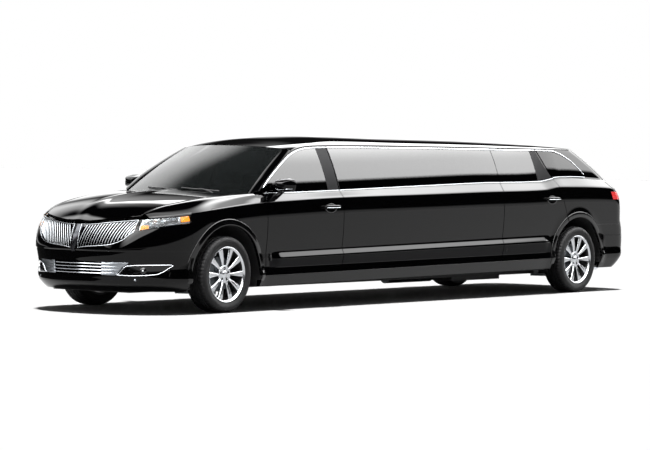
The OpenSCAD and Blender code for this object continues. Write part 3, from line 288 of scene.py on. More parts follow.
# %% Hood, roof and the edges of the windshield
def hood_seam(x):
    """Half width of the hood at a station: a straight taper towards the nose."""
    return mix(hood_tip, 800, np.clip((xf + 850 - x) / 1150, -0.1, 1.15))


def hood_z(x, y):
    """Hood height: a bow from the middle line to the side seam, with a soft ridge 70
    mm wide along the middle."""
    u = np.minimum(1.2, np.abs(y) / hood_seam(x))
    return mix(curve(HOOD_MID, x), curve(HOOD_SIDE, x), u * u) + 9 * np.exp(-(y / 70)**2)


def hood_edge(y):
    """Station of the hood's front edge at a width: the nose, at a height that rises to the sides."""
    return nose_x(y, mix(866, 940, (np.abs(y) / hood_tip)**2))


def roof_half(x):
    """Half width of the roof at a station: the side surface just above the doors."""
    return side_y(x, wall_top(x) + gap)


def roof_z(x, y):
    """Roof height: from the side edge to the crown as (1 - t^2.5)^0.62, flat on top
    and round at the sides."""
    t = np.minimum(1, np.abs(y) / roof_half(x))
    return mix(wall_top(x) + gap, curve(CROWN, x), (1 - t**2.5)**0.62)


def header(y):
    """Station of the windshield's upper edge at a width: a parabola swept back."""
    return xf - 1070 - 110 * (y / shield_head)**2


def cowl(y):
    """Station of the windshield's foot at a width: a parabola swept back."""
    return xf - 325 - 130 * (y / shield_foot)**2


def arch_z(x, arch):
    """Lower edge that a wheel arch leaves: the circle's top over its width, and nothing outside it."""
    outside = np.abs(x - arch[0]) > arch[2]
    return arch[1] + np.sqrt(np.maximum(0, arch[2]**2 - (x - arch[0])**2)) - 1e4 * outside


# %% [markdown]
# ## From arrays to Blender objects
# A panel is pressed sheet with a wall behind it, so it is made from two grids of points, an
# outer and an inner one. The faces between them close it all round, also along a window that is
# left out. A Solidify modifier could give one thickness, but a door is thick at its waist and
# thin round its glass, and two grids give each place its own.

# %% Sheets and bars
def lattice(a, b):
    """Two parameters on a grid: a changes from row to row, b from column to column."""
    return np.meshgrid(a, b, indexing="ij")


def skin(outer, inner, keep=None):
    """Closed sheet between two grids: cells of the outer grid, cells of the inner grid
    turned round, and a strip of quads wherever the kept cells end. Returns points,
    quads, and 0 for outer and edge or 1 for inner faces."""
    n, m = outer.shape[:2]
    keep = np.ones((n - 1, m - 1), bool) if keep is None else keep
    index = np.arange(n * m).reshape(n, m)
    a, b = np.nonzero(keep)
    cells = np.stack([index[a, b], index[a + 1, b], index[a + 1, b + 1], index[a, b + 1]], 1)
    ring = np.pad(keep, 1)
    quads, kind = [cells, cells[:, ::-1] + n * m], [0 * a, 0 * a + 1]
    for k, (da, db) in enumerate(((0, -1), (1, 0), (0, 1), (-1, 0))):
        free = ~ring[a + 1 + da, b + 1 + db]
        p, r = cells[free, k], cells[free, (k + 1) % 4]
        quads.append(np.stack([r, p, p + n * m, r + n * m], 1))
        kind.append(0 * p)
    quads = np.concatenate(quads)
    facing = np.cross(outer[1:, :-1] - outer[:-1, :-1], outer[:-1, 1:] - outer[:-1, :-1])
    if np.sum(facing * (outer - inner)[:-1, :-1]) < 0:
        quads = quads[:, ::-1]
    return np.concatenate([outer.reshape(-1, 3), inner.reshape(-1, 3)]), quads, np.concatenate(kind)


def rope(grid, ring=False):
    """Closed bar from a grid whose second direction runs round the bar; its ends are closed by a fan of
    quads, or the first direction closes on itself as a ring."""
    n, m = grid.shape[:2]
    index = np.arange(n * m).reshape(n, m)
    rows = np.concatenate([index, index[:1]]) if ring else index
    quads = np.stack([rows[:-1], np.roll(rows, -1, 1)[:-1], np.roll(rows, -1, 1)[1:], rows[1:]],
                     -1).reshape(-1, 4)
    co = grid.reshape(-1, 3)
    if not ring:
        co = np.concatenate([co, grid[0].mean(0)[None], grid[-1].mean(0)[None]])
        for end, hub in ((index[0], n * m), (index[-1][::-1], n * m + 1)):
            quads = np.concatenate([quads,
                                    np.stack([np.roll(end, -1), end, 0 * end + hub, 0 * end + hub], 1)])
    return co, quads, np.zeros(len(quads), int)


print("a sheet of 2 x 2 cells has", len(skin(np.zeros((3, 3, 3)), np.ones((3, 3, 3)))[1]), "faces")


# %% Mirrored and gathered pieces
def mirrored(part):
    """The same piece on the other side: Y turned round, and each face walked backwards to stay outward."""
    return part[0] * np.array([1, -1, 1]), part[1][:, ::-1], part[2]


def gather(*parts):
    """Several closed pieces as one list of points and faces."""
    start = np.cumsum([0] + [len(p[0]) for p in parts[:-1]])
    return (np.concatenate([p[0] for p in parts]), np.concatenate([p[1] + s for p, s in zip(parts, start)]),
            np.concatenate([p[2] for p in parts]))


def pair(part):
    """A left piece with its mirror image."""
    return gather(part, mirrored(part))


def tag(part, kind):
    """The same piece with all its faces in one material place."""
    return part[0], part[1], 0 * part[2] + kind


SIDES = (("left", lambda part: part), ("right", mirrored))
print("sides:", [side for side, turn_over in SIDES])


def piece(name, part, mats, body="body", stands_for=(), edge=0.0, sharp=40, outward=False):
    """Puts points and faces into a mesh, merges doubled points, and rides it on its
    body. edge rounds the rim."""
    co, quads, kind = part
    mesh = bpy.data.meshes.new(name)
    faces = [f[:3] if f[2] == f[3] else f for f in quads.tolist()]
    mesh.from_pydata((co * MM).tolist(), [], faces)
    for m in mats:
        mesh.materials.append(m)
    mesh.polygons.foreach_set("material_index", np.minimum(kind, len(mats) - 1).astype(np.int32))
    bm = bmesh.new()
    bm.from_mesh(mesh)
    bmesh.ops.remove_doubles(bm, verts=bm.verts, dist=2e-6)
    bmesh.ops.dissolve_degenerate(bm, edges=bm.edges, dist=1e-6)
    if outward:
        bmesh.ops.recalc_face_normals(bm, faces=bm.faces)
    bm.to_mesh(mesh)
    bm.free()
    mesh.shade_smooth()
    mesh.set_sharp_from_angle(angle=np.radians(sharp))
    ob = bpy.data.objects.new(name, mesh)
    bpy.context.scene.collection.objects.link(ob)
    if edge:
        bevel = ob.modifiers.new("rounded rim", "BEVEL")
        bevel.width, bevel.segments, bevel.limit_method = edge * MM, 2, "ANGLE"
        bevel.angle_limit, bevel.harden_normals = np.radians(55), True
    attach(ob, body)
    if stands_for:
        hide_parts(*stands_for)
    return ob


# %% Profiles and rows
def sweep(path, across, up, profile):
    """Profile carried along a path: each point is path + a·across + b·up for the profile's (a, b)."""
    return path[:, None] + profile[None, :, :1] * across[:, None] + profile[None, :, 1:] * up[:, None]


def unit(v):
    """Vectors brought to length 1."""
    return v / np.linalg.norm(v, axis=-1, keepdims=True)


def oval(w, h, n=12, power=2.0):
    """Closed profile: a superellipse of the given width and height, n points round."""
    a = np.arange(n) * 2 * np.pi / n
    c, s = np.cos(a), np.sin(a)
    return np.stack([np.sign(c) * np.abs(c)**(2 / power) * w / 2,
                     np.sign(s) * np.abs(s)**(2 / power) * h / 2], 1)


def rows_between(stops, counts):
    """Heights from stop to stop along each column, crowded near every stop so that creases stay crisp."""
    parts = [stops[0][:, None]]
    for a, b, c in zip(stops[:-1], stops[1:], counts):
        parts.append(mix(a[:, None], b[:, None], ease(np.arange(1, c + 1) / c)))
    return np.concatenate(parts, 1)


print("points of an oval:", oval(2.0, 1.0).shape[0])


# %% [markdown]
# ## Finishes
# Each finish starts from the real material and how it was made. A plain colour would look
# like plastic clay, so every one has a fine pattern whose size is given in millimetres
# and worked out on Object coordinates, which are metres here.

# %% One function that adds a node
def linear(code):
    """sRGB hex to the linear colour that Blender works in."""
    v = np.array([int(code[i:i + 2], 16) for i in (1, 3, 5)]) / 255
    return [float(c) for c in np.where(v <= 0.04045, v / 12.92, ((v + 0.055) / 1.055)**2.4)] + [1.0]


def add(tree, kind, inputs=(), **settings):
    """Adds one node. inputs maps a socket's name or number to a value, or to another
    node's output to link it."""
    node = tree.nodes.new(kind)
    for key, value in settings.items():
        setattr(node, key, value)
    for key, value in dict(inputs).items():
        if isinstance(value, bpy.types.NodeSocket):
            tree.links.new(value, node.inputs[key])
        else:
            node.inputs[key].default_value = value
    return node


print("middle grey in linear light:", round(linear("#808080")[0], 3))


# %% One function that makes a finish
def finish(name, dark, light, grain_mm, rough=(0.3, 0.4), bump_mm=0.0, stretch=(1, 1, 1),
           detail=4.0, **surface):
    """A surface whose colour and roughness wander between two values with a grain of the given size, and
    whose bump has the same grain. Constant values go straight on the shader's sockets."""
    mat = bpy.data.materials.new(name)
    mat.use_nodes = True
    tree = mat.node_tree
    shader = tree.nodes["Principled BSDF"]
    where = add(tree, "ShaderNodeTexCoord")
    turn = add(tree, "ShaderNodeMapping", {"Vector": where.outputs["Object"], "Scale": stretch})
    grain = add(tree, "ShaderNodeTexNoise",
                {"Vector": turn.outputs[0], "Scale": 1 / (grain_mm * MM), "Detail": detail})
    tint = add(tree, "ShaderNodeMix", {"Factor": grain.outputs[0], 6: linear(dark), 7: linear(light)},
               data_type="RGBA")
    tree.links.new(tint.outputs[2], shader.inputs["Base Color"])
    spread = add(tree, "ShaderNodeMapRange", {0: grain.outputs[0], 1: 0.3, 2: 0.7, 3: rough[0], 4: rough[1]})
    tree.links.new(spread.outputs[0], shader.inputs["Roughness"])
    if bump_mm:
        bump = add(tree, "ShaderNodeBump",
                   {"Height": grain.outputs[0], "Strength": 1.0, "Distance": bump_mm * MM})
        tree.links.new(bump.outputs[0], shader.inputs["Normal"])
    for socket, value in surface.items():
        shader.inputs[socket.replace("_", " ")].default_value = value
    return mat


# %% Paint, glass, metal, plastic and hide
# Black base coat under clear lacquer: almost no colour of its own, so the eye sees only what it mirrors. The
# coat's IOR is below the real 1.5, so that the flanks stay as dark as they look.
paint = finish("black_lacquer", "#020203", "#050506", 9, (0.25, 0.3), 0.0, IOR=1.5, Specular_IOR_Level=0.0,
               Coat_Weight=1.0, Coat_Roughness=0.012, Coat_IOR=1.31)
# Plated steel and plastic: a mirror, a little blue, with the faintest haze.
chrome = finish("bright_chrome_plate", "#c4c8cd", "#dfe2e6", 14, (0.05, 0.1), Metallic=1.0)
# Turned and polished aluminium: bright, softer than chrome.
alloy = finish("polished_alloy", "#b4b7ba", "#d4d6d9", 6, (0.14, 0.24), Metallic=1.0)
# Silver lacquer with fine metal flakes: a satin sheen without a clear mirror image.
satin = finish("satin_silver_lacquer", "#8f9398", "#a4a8ad", 5, (0.3, 0.4), Metallic=0.9)
# Float glass, mirror-smooth: dark from outside on the sides, lightly tinted in front.
tint_glass = finish("tinted_safety_glass", "#0c0e10", "#111316", 60, (0.0, 0.004), IOR=1.52,
                    Transmission_Weight=1.0)
clear_glass = finish("clear_safety_glass", "#767d7d", "#7f8686", 60, (0.0, 0.004), IOR=1.52,
                     Transmission_Weight=1.0)
# Moulded polycarbonate: clear. Its IOR is below the real 1.58, so that the reflector
# isn't lost behind a mirror image.
clear_lens = finish("clear_polycarbonate", "#eef2f4", "#f6f9fb", 40, (0.0, 0.01), IOR=1.3,
                    Transmission_Weight=1.0)
# Moulded red acrylic: a deep colour under a wet-looking surface.
red_lens = finish("red_acrylic", "#7c0410", "#a80a18", 8, (0.06, 0.1), IOR=1.49, Transmission_Weight=0.25,
                  Coat_Weight=0.6)
# Moulded plastic: polished it mirrors like lacquer, grained it scatters the light.
gloss_black = finish("gloss_black_plastic", "#060607", "#0a0a0b", 6, (0.06, 0.1), IOR=1.5)
black_plastic = finish("grained_black_plastic", "#0c0c0d", "#161617", 1.6, (0.5, 0.65), 0.12, IOR=1.5)
# Vulcanised rubber: dull and dark, with a fine dust of its own.
rubber = finish("tyre_rubber", "#08080a", "#111112", 3.0, (0.5, 0.7), 0.15, IOR=1.5, Specular_IOR_Level=0.25)
# Tanned hide: a soft sheen broken by pores.
hide = finish("grained_black_hide", "#0f0d0c", "#1c1917", 2.4, (0.42, 0.58), 0.25, IOR=1.5)
# Looped carpet: loops that swallow every highlight.
carpet = finish("looped_carpet", "#0d0d0e", "#1f1f20", 3.5, (0.9, 1.0), 1.2, IOR=1.45)
# Pressed steel and sand-cast aluminium: dull metal, the casting the rougher of the two.
steel = finish("pressed_steel", "#4a4d50", "#6a6d70", 5, (0.35, 0.5), 0.05, Metallic=1.0)
cast = finish("cast_aluminium", "#6b6e70", "#85888a", 2.2, (0.5, 0.65), 0.2, Metallic=1.0)
# Sprayed underbody coat: rubbery and lumpy.
undercoat = finish("rubbery_undercoat", "#101011", "#1a1a1b", 4, (0.6, 0.8), 0.4, IOR=1.5)
print("finishes:", len(bpy.data.materials))

# %% [markdown]
# ## Every solid first gets a finish
# Solids that stay as they are, mostly below the floor, get their material here. The
# rest is hidden later by the finer piece that stands for it.

# %% Finishes of the CAD solids
# Each finish with the beginnings of the names that wear it; every other solid is painted body
SOLIDS = ((undercoat, ("floor_pan", "frame_rails", "hinge_pillars", "cowl_bulkhead")),
          (steel, ("hood_hinges", "gate_hinges", "exhaust")),
          (black_plastic, ("cowl_panel", "wheel_liners", "dashboard", "fuel_tank")),
          (cast, ("front_suspension", "rear_suspension", "knuckle", "engine")),
          (hide, ("front_seats", "lounge", "steering_wheel")),
          (chrome, ("grille", "lower_grille")),
          (clear_lens, ("front_lamps",)),
          (red_lens, ("tail_lamps",)),
          (clear_glass, ("windshield",)),
          (tint_glass, ("side_glass", "gate_glass", "front_glass", "rear_glass")),
          (rubber, ("tyre",)),
          (alloy, ("rim",)))
for name, ob in nodes.items():
    mat = next((mat for mat, starts in SOLIDS if name.startswith(starts)), paint)
    ob.data.materials.clear()
    ob.data.materials.append(mat)
print("solids with a finish:", sum(bool(o.data.materials) for o in nodes.values()))

# %% [markdown]
# ## Side panels
# Doors, stretch sides and quarter panels are pieces of the one side surface between two
# shut lines. A column of each grid runs up the section from the sill to the roof, so
# its rows follow the creases and the reflections stay clean.

# %% Stops of a column and the panel between two shut lines
def side_stops(x, foot):
    """Heights where the section bends, each kept a little above the foot where a wheel arch cuts in."""
    lines = [foot] + [np.maximum(level(i, x), foot + 14 * (i - 1)) for i in (2, 3, 4)]
    return lines + [shoulder(x), belt(x), belt(x) + 4, belt(x) + bond]


SIDE_COUNTS = [5, 6, 6, 18, 8, 1, 2]


def wall_at(x, z):
    """Depth of the door or wall behind the skin: thick at the waist, thin round the glass."""
    lo, hi = ease((z - shoulder(x) + 30) / 60), ease((z - belt(x) + 20) / 40)
    return mix(mix(mix(45, 80, ease((z - level(1, x)) / 40)), 60, lo), 42, hi)


def side_panel(line_a, line_b, cols, foot, top, counts_top, window=None, arch=None, wall=None,
               tuck=0.0, turn=0.0):
    """Grid between two shut lines: station = blend of the two lines at that height, half width from side_y.
    Above the belt the skin steps in by the glass and its bed, and the cells of the window are left out."""
    xs = mix(line_a(900.0), line_b(900.0), cols)
    low = foot(xs) if arch is None else np.maximum(foot(xs), arch_z(xs, arch))
    stops = side_stops(xs, low)
    z = rows_between(stops + top(xs), SIDE_COUNTS + counts_top)
    x = mix(line_a(z), line_b(z), cols[:, None])
    if arch is not None:
        z = np.maximum(z, np.minimum(arch_z(x, arch), shoulder(x) - 40))
        x = mix(line_a(z), line_b(z), cols[:, None])
    first = sum(SIDE_COUNTS[:6])
    step = np.where(np.arange(z.shape[1]) >= first, glass_t + bed, 0)
    outer = np.stack([x, side_y(x, z) - step, z], -1)
    xi = mix(line_a(z) - tuck, line_b(z) + tuck, cols[:, None])
    w = wall_at(xi, z) if wall is None else wall + 0 * z
    k = turn * ease((cols[:, None] - 0.8) / 0.2)
    inner = np.stack([xi + k * w, side_y(xi, z) - w * (1 - 0.88 * k), z], -1)
    keep = np.ones((x.shape[0] - 1, x.shape[1] - 1), bool)
    if window is not None:
        r0 = sum(SIDE_COUNTS)
        keep[window[0]:window[1], r0:r0 + counts_top[0]] = False
    return skin(outer, inner, keep)


def spaced(*marks):
    """Column places from mark to mark: each (value, count) pair adds count even steps up to value."""
    out = [np.array([marks[0]])]
    for value, count in marks[1:]:
        out.append(np.linspace(out[-1][-1], value, count + 1)[1:])
    return np.concatenate(out)


def level_foot(x):
    """Lower edge of a door: the sill's line plus the gap."""
    return level(1, x) + gap


def frame_top(x):
    """Last two stops of a door's column: the window's upper edge and the door's top."""
    return [wall_top(x) - frame_w - 8, wall_top(x)]


print("rows from the foot to the glass:", sum(SIDE_COUNTS))


# %% Doors
def front_line(z):
    """Shut line in front of the front door: one station at all heights."""
    return door_f0 - gap + 0 * z


def front_door_end(z):
    """Shut line behind the front door, upright too."""
    return door_f1 + gap + 0 * z


span = front_line(0.0) - front_door_end(0.0)
cols = spaced(0.0, (122 / span, 5), (1 - 207 / span, 30), (1.0, 7))
front_door = side_panel(front_line, front_door_end, cols, level_foot, frame_top, [10, 4],
                        window=(5, 35), tuck=10)


def rear_line(z):
    """Shut line in front of the rear door, upright."""
    return door_r0 - gap + 0 * z


def rear_door_end(z):
    """Shut line behind the rear door, which follows the wheel arch and the window."""
    return door_rear(z) + gap


cols = spaced(0.0, (0.09, 4), (0.69, 22), (0.76, 5), (0.80, 10), (1.0, 22))
rear_door = side_panel(rear_line, rear_door_end, cols, level_foot, frame_top, [10, 4], window=(4, 26),
                       arch=rear_arch, tuck=10)
for side, turn_over in SIDES:
    piece(f"front_door_skin_{side}", turn_over(front_door), [paint, black_plastic], f"front_door_{side}",
          [f"front_door_{side}"], edge=2.0)
    piece(f"rear_door_skin_{side}", turn_over(rear_door), [paint, black_plastic], f"rear_door_{side}",
          [f"rear_door_{side}"], edge=2.0)


# %% Stretch sides and quarter panels
def stretch_a(z):
    """Front end of the stretch side, upright."""
    return door_f1 + 0 * z


def stretch_b(z):
    """Rear end of the stretch side, upright."""
    return door_r0 + 0 * z


def stretch_foot(x):
    """Lower edge of the stretch side, on the sill."""
    return level(1, x) + seat


def wall_head(x):
    """Last two stops of a fixed wall's column: the window's upper edge and the roof's seam."""
    return [wall_top(x) - frame_w - 8, wall_top(x) + gap - 3 * seat]


span = door_f1 - door_r0
cols = spaced(0.0, (75 / span, 3), (1 - 75 / span, 60), (1.0, 3))
stretch = side_panel(stretch_a, stretch_b, cols, stretch_foot, wall_head, [10, 4], window=(3, 63))
piece("stretch_side_skins", pair(stretch), [paint, black_plastic], "body",
      ["stretch_sides"], edge=2.0)


def quarter_foot(x):
    """Lower edge of the quarter panel, on the bumper."""
    return bumper_z + 0 * x


def quarter_top(x):
    """Upper edge of the quarter window: the wall's top line, falling to the belt at its rear tip."""
    return mix(wall_top(x) - 20, belt(x) + 30, np.clip((xr + 440 - x) / 620, 0, 1)**2.2)


cols = spaced(0.0, (0.02, 2), (0.36, 34), (0.8, 26), (1.0, 18))
quarter = side_panel(door_rear, quarter_rear, cols, quarter_foot, wall_head, [10, 4], arch=rear_arch, wall=34,
                     turn=1.0)
piece("quarter_panel_skins", pair(quarter), [paint, black_plastic], "body",
      ["quarter_panels"], edge=2.0)

# %% [markdown]
# ## Front end
# The fender runs from the door to the lamp and turns over the shoulder to the hood seam. The hood is a bow
# with a ridge, the bumper wraps round the nose, and both are cut where the real panels meet.

# %% Fenders
fender_x1, fender_x2, lamp_edge = xf + 510, xf + 840, 14.0
lamp_x0 = fender_x1 + 2 * seat


def fender_grid():
    """Columns at stations, rows up the section from the arch to the shoulder and then over to the hood seam.
    Past the lamp's rear edge only the strip above the lamp is left."""
    theta = np.linspace(np.pi, 0, 61)
    xs = np.concatenate([np.linspace(door_f0, xf - 502, 6), xf + 500 * np.cos(theta), [fender_x1],
                         np.linspace(fender_x1 + seat, fender_x2, 24)])
    tip = xs > fender_x1
    foot = np.where(tip, shoulder(xs) - lamp_edge, np.maximum(level(1, xs), arch_z(xs, front_arch)))
    stops = [foot] + [np.where(tip, foot + lamp_edge * (i - 1) / 4,
                               np.maximum(level(i, xs), foot + 14 * (i - 1)))
                      for i in (2, 3, 4)] + [shoulder(xs)]
    z = rows_between(stops, [6, 6, 6, 20])
    x = np.broadcast_to(xs[:, None], z.shape)
    lower = np.stack([x, side_y(x, z), z], -1)
    z0 = shoulder(xs)
    y0 = side_y(xs, z0)
    y1 = np.minimum(hood_seam(xs) + gap, y0 - 10)
    k = np.linspace(0, 1, 13)[1:]
    upper = np.stack(np.broadcast_arrays(xs[:, None], mix(y0[:, None], y1[:, None], k),
                                         mix(z0[:, None], hood_z(xs, y1)[:, None], np.sin(k * np.pi / 2))),
                     -1)
    drop_low = np.where(tip[:, None, None], [0, -10, -6], [0, -24, 0])
    drop_high = np.where(tip[:, None, None], [0, -4, -12], [0, -8, -24])
    return np.concatenate([lower, upper], 1), np.concatenate([lower + drop_low, upper + drop_high], 1)


piece("fender_skins", pair(skin(*fender_grid())), [paint, undercoat], "body",
      ["fenders"], edge=2.0)

# %% Hood
hood_x0 = xf - 260


def hood_grid():
    """u runs across from seam to seam, v from the windshield to the nose edge; height from hood_z."""
    u, v = lattice(np.linspace(-1, 1, 97), 1 - (1 - np.linspace(0, 1, 61))**1.4)
    edge = hood_edge(u * hood_seam(hood_edge(u * hood_tip)))
    x = mix(hood_x0, edge, v)
    y = u * hood_seam(x)
    return np.stack([x, y, hood_z(x, y)], -1)


top = hood_grid()
piece("hood_skin", skin(top, top - [0, 0, 20]), [paint, undercoat], "hood", ["hood"], edge=2.5)

# %% Front bumper with the lower grille's opening and the fog lamp recesses
lower_half, lower_z0, lower_z1 = 350.0, 365.0, 497.0
fog_y0, fog_y1, fog_z1 = 440.0, 850.0, 470.0
ledge_z0, ledge_z1, chin_z = 594.0, 610.0, 296.0
BUMPER_ROWS = ([216.0, 290.0, lower_z0, fog_z1, lower_z1, 560.0, ledge_z0, ledge_z1],
               [6, 6, 8, 3, 6, 5, 5, 10])


def bumper_grid():
    """s runs from the middle round to the lamp, passing the edges of both openings at
    fixed places; the rows run from the chin to the upper edge, which rises towards the
    lamp. A ledge and a chin lip stand out by a few millimetres."""
    s = np.concatenate([np.linspace(0, 1, 25), np.linspace(1, 2, 7)[1:], np.linspace(2, 3, 25)[1:],
                        np.linspace(3, 4, 21)[1:]])
    plan = nose_share(lamp_x0, 700.0) * np.interp(s, [0, 1, 2, 3, 4], [0, 0.3, 0.38, 0.72, 1])
    top_z = bumper_top(nose_pt(plan * 0.95, np.full_like(plan, 700.0))[:, 1]) - seat
    z = rows_between([np.full_like(s, v) for v in BUMPER_ROWS[0]] + [top_z], BUMPER_ROWS[1])
    marks = [0 * z, nose_share_y(lower_half, z), nose_share_y(fog_y0, z), nose_share_y(fog_y1, z),
             nose_share(lamp_x0, z)]
    k, t = np.minimum(s.astype(int), 3), (s - np.minimum(s.astype(int), 3))[:, None]
    rows = np.stack(marks)
    q = mix(np.take_along_axis(rows, k[None, :, None] + 0 * z[None].astype(int), 0)[0],
            np.take_along_axis(rows, k[None, :, None] + 1 + 0 * z[None].astype(int), 0)[0], t)
    a = (s / 4)[:, None] * np.pi / 2 + 0 * z
    ledge = mix(-4 * np.exp(-np.maximum(0, ledge_z0 - z) / 40), 6 * np.exp(-np.maximum(0, z - ledge_z1) / 50),
                ease((z - ledge_z0) / (ledge_z1 - ledge_z0)))
    lip = 7 * np.exp(-((z - chin_z) / 22)**2)
    away = np.stack([np.cos(a), np.sin(a), 0 * a], -1)
    outer = nose_pt(q, z) + ((ledge + lip) * np.cos(a * 0.9))[..., None] * away
    inner = outer - 20 * away
    r = np.cumsum([0] + BUMPER_ROWS[1])
    keep = np.ones((len(s) - 1, z.shape[1] - 1), bool)
    keep[:24, r[2]:r[4]] = False
    keep[30:54, r[2]:r[3]] = False
    return outer, inner, keep


piece("front_bumper_skin", pair(skin(*bumper_grid())), [paint, undercoat], "body",
      ["front_bumper"], edge=2.0)

# %% [markdown]
# ## Roof, pillars and windshield
# The roof is one long pressing whose crown rises behind the windshield. The front pillar closes the
# wedge between the windshield's edge and the door's top line.

# %% Roof
roof_x1 = xr - 196


def roof_grid():
    """u across from edge to edge, crowded at the sides where the roof turns down; v
    from the header to the tail."""
    u, v = lattice(np.sin(np.linspace(-1, 1, 81) * np.pi / 2), np.linspace(0, 1, 161)**1.25)
    x = mix(header(u * 745), roof_x1, v)
    y = u * roof_half(x)
    outer = np.stack([x, y, roof_z(x, y)], -1)
    inner = np.stack([x, y * 0.955, outer[..., 2] - 0.5 - 24 * np.minimum(1, (1 - np.abs(u)) / 0.1)], -1)
    return outer, inner


piece("roof_skin", skin(*roof_grid()), [paint, carpet], "body", ["roof"], edge=1.5)


# %% Windshield
def shield_pt(u, v):
    """u across from -1 to 1, v from the cowl to the header: straight lines between
    the two edges, bowed out 34 mm."""
    x1 = header(u * shield_head) + 2 * seat
    y = mix(shield_foot, shield_head, v) * u
    top = roof_z(header(u * shield_head), u * shield_head)
    z = mix(1138 - 10 * u * u, top, v) + 34 * np.sin(v * np.pi) * (1 - 0.35 * u * u)
    return np.stack([mix(cowl(u * shield_foot), x1, v), y, z], -1)


u, v = lattice(np.linspace(-1, 1, 61), np.linspace(0, 1, 41))
shield = shield_pt(u, v)
piece("windshield_glass", skin(shield, shield - [0, 0, 10]), [clear_glass], "body",
      ["windshield"])


# %% Front pillars
def pillar_grid():
    """v up the pillar; three guide lines, the windshield's edge, a raised middle and the
    door's top line, joined by a parabola through all three."""
    v, k = lattice(np.linspace(0, 1, 41), np.linspace(0, 2, 11))
    p = shield_pt(np.ones_like(v), v) + [0, seat, 0]
    x = mix(door_f0 + 45, header(740.0) + seat, v)
    d = side_pt(x, wall_top(x) + gap)
    m = mix(p, d, 0.5) + [4, 3, 6]
    k3 = k[..., None]
    outer = p * (1 - k3) * (2 - k3) / 2 + m * k3 * (2 - k3) + d * k3 * (k3 - 1) / 2
    drop = np.array([[-10, 0, -32], [-20, -30, -36], [0, -50, -2]], float)
    depth = drop[0] * (1 - k3) * (2 - k3) / 2 + drop[1] * k3 * (2 - k3) + drop[2] * k3 * (k3 - 1) / 2
    return outer, outer + depth * mix(0.5, 1, v)[..., None]


piece("front_pillar_skins", pair(skin(*pillar_grid())), [paint, carpet], "body",
      ["front_pillars"], edge=1.5)

# %% [markdown]
# ## Tail
# The bumper wraps round the tail from arch to arch, and the gate is one curved panel from the roof to the
# bumper with its own window. Both use the tail's superellipse.


# %% Rear bumper
def rear_bumper_grid():
    """s from the wheel arch along the side and round the corner to the middle, rows
    from the skirt to the gate's sill."""
    s = np.linspace(0, 1, 61)[:, None]
    z = rows_between([np.full(61, v) for v in (262.0, 330.0, 520.0, 690.0, bumper_z - seat)], [4, 8, 8, 6])
    xa = xr - np.sqrt(np.maximum(0, rear_arch[2]**2 - (z - rear_arch[1])**2)) - 0.5
    corner = tail_at(z) + tail_len
    side = side_pt(mix(xa, corner, np.clip(s / 0.4, 0, 1)), z)
    end = tail_pt(1 - np.clip((s - 0.4) / 0.6, 0, 1) + 0 * z, z)
    outer = np.where((s <= 0.4)[..., None], side, end)
    a = np.clip((s - 0.4) / 0.6, 0, 1) * np.pi / 2 + 0 * z
    return outer, outer + 24 * np.stack([np.sin(a), -np.cos(a), 0 * a], -1)


piece("rear_bumper_skin", pair(skin(*rear_bumper_grid())), [paint, undercoat], "body",
      ["rear_bumper"], edge=2.0)

# %% Tailgate
gate_x0 = roof_x1 - 20
GATE_Z = np.array([768, 820, 900, 960, 1030, 1132, 1202, 1245, 1343, 1474, 1530, 1560], float)


def gate_half(z):
    """Half width of the gate at a height: the side surface less the gap."""
    return side_y(quarter_rear(z), z) - gap - 4


def window_half(z):
    """Half width of the gate's window: a straight taper upward."""
    return mix(560, 520, np.clip((z - 1245) / 285, 0, 1))


def gate_grid():
    """s across from edge to edge, passing the window's sides at fixed places; rows up
    the tail curve and, last, forward to the roof's edge."""
    s = spaced(-2.0, (-1.0, 10), (1.0, 40), (2.0, 10))[:, None]
    z = np.concatenate([np.linspace(a, b, 5)[:-1] for a, b in zip(GATE_Z[:-1], GATE_Z[1:])]
                       + [GATE_Z[-1:]])[None]
    z = z + 0 * s
    y = np.sign(s) * np.where(np.abs(s) <= 1, np.abs(s) * window_half(z),
                              mix(window_half(z), gate_half(z), np.abs(s) - 1))
    body = np.stack([tail_x(y, z), y, z], -1)
    ye = s[:, :1] / 2 * (gate_half(np.array(1560.0)) - 8)
    lip = np.stack([gate_x0 + 0 * ye, ye, roof_z(gate_x0 + 0 * ye, ye) - 4], -1)
    t = np.array([0.34, 0.67, 1.0])[None, :, None]
    outer = np.concatenate([body, mix(body[:, -1:], lip, t)], 1)
    last = np.arange(outer.shape[1]) == outer.shape[1] - 1
    first = np.arange(outer.shape[1]) == 0
    inner = outer + np.stack(np.broadcast_arrays(np.where(last, -2, 18)[None], -0.02 * outer[..., 1],
                                                 np.where(first, 0, -20)[None]), -1)
    keep = np.ones((outer.shape[0] - 1, outer.shape[1] - 1), bool)
    keep[10:50, 28:40] = False
    return outer, inner, keep


piece("tailgate_skin", skin(*gate_grid()), [paint, black_plastic], "tailgate",
      ["tailgate"], edge=2.0)

# %% Glass of the tailgate
u, z = lattice(np.linspace(-1, 1, 41), np.linspace(1232, 1540, 25))
y = u * mix(600, 545, (z - 1232) / 308)
pane = np.stack([tail_x(y, z) - 1.2 - glass_t, y, z], -1)
piece("tailgate_pane", skin(pane, pane + [glass_t, 0, 0]), [tint_glass], "tailgate",
      ["gate_glass"], edge=1.5)


# %% [markdown]
# ## Side glass and sills
# The panes lie flush over the wall on a bead of sealant. The stretch looks like one long dark window.

# %% Side glass
def side_pane(x0, x1, n, foot, top):
    """Pane between two stations, from a little above the belt to its own top line,
    lying on the side surface."""
    x, t = lattice(np.linspace(x0, x1, n), np.linspace(0, 1, 19))
    z = mix(belt(x) + foot, top(x), t)
    outer = side_pt(x, z)
    return skin(outer, outer - [0, glass_t, 0])


def pane_top(x):
    """Upper edge of a pane, 20 mm below the wall's top."""
    return wall_top(x) - 20


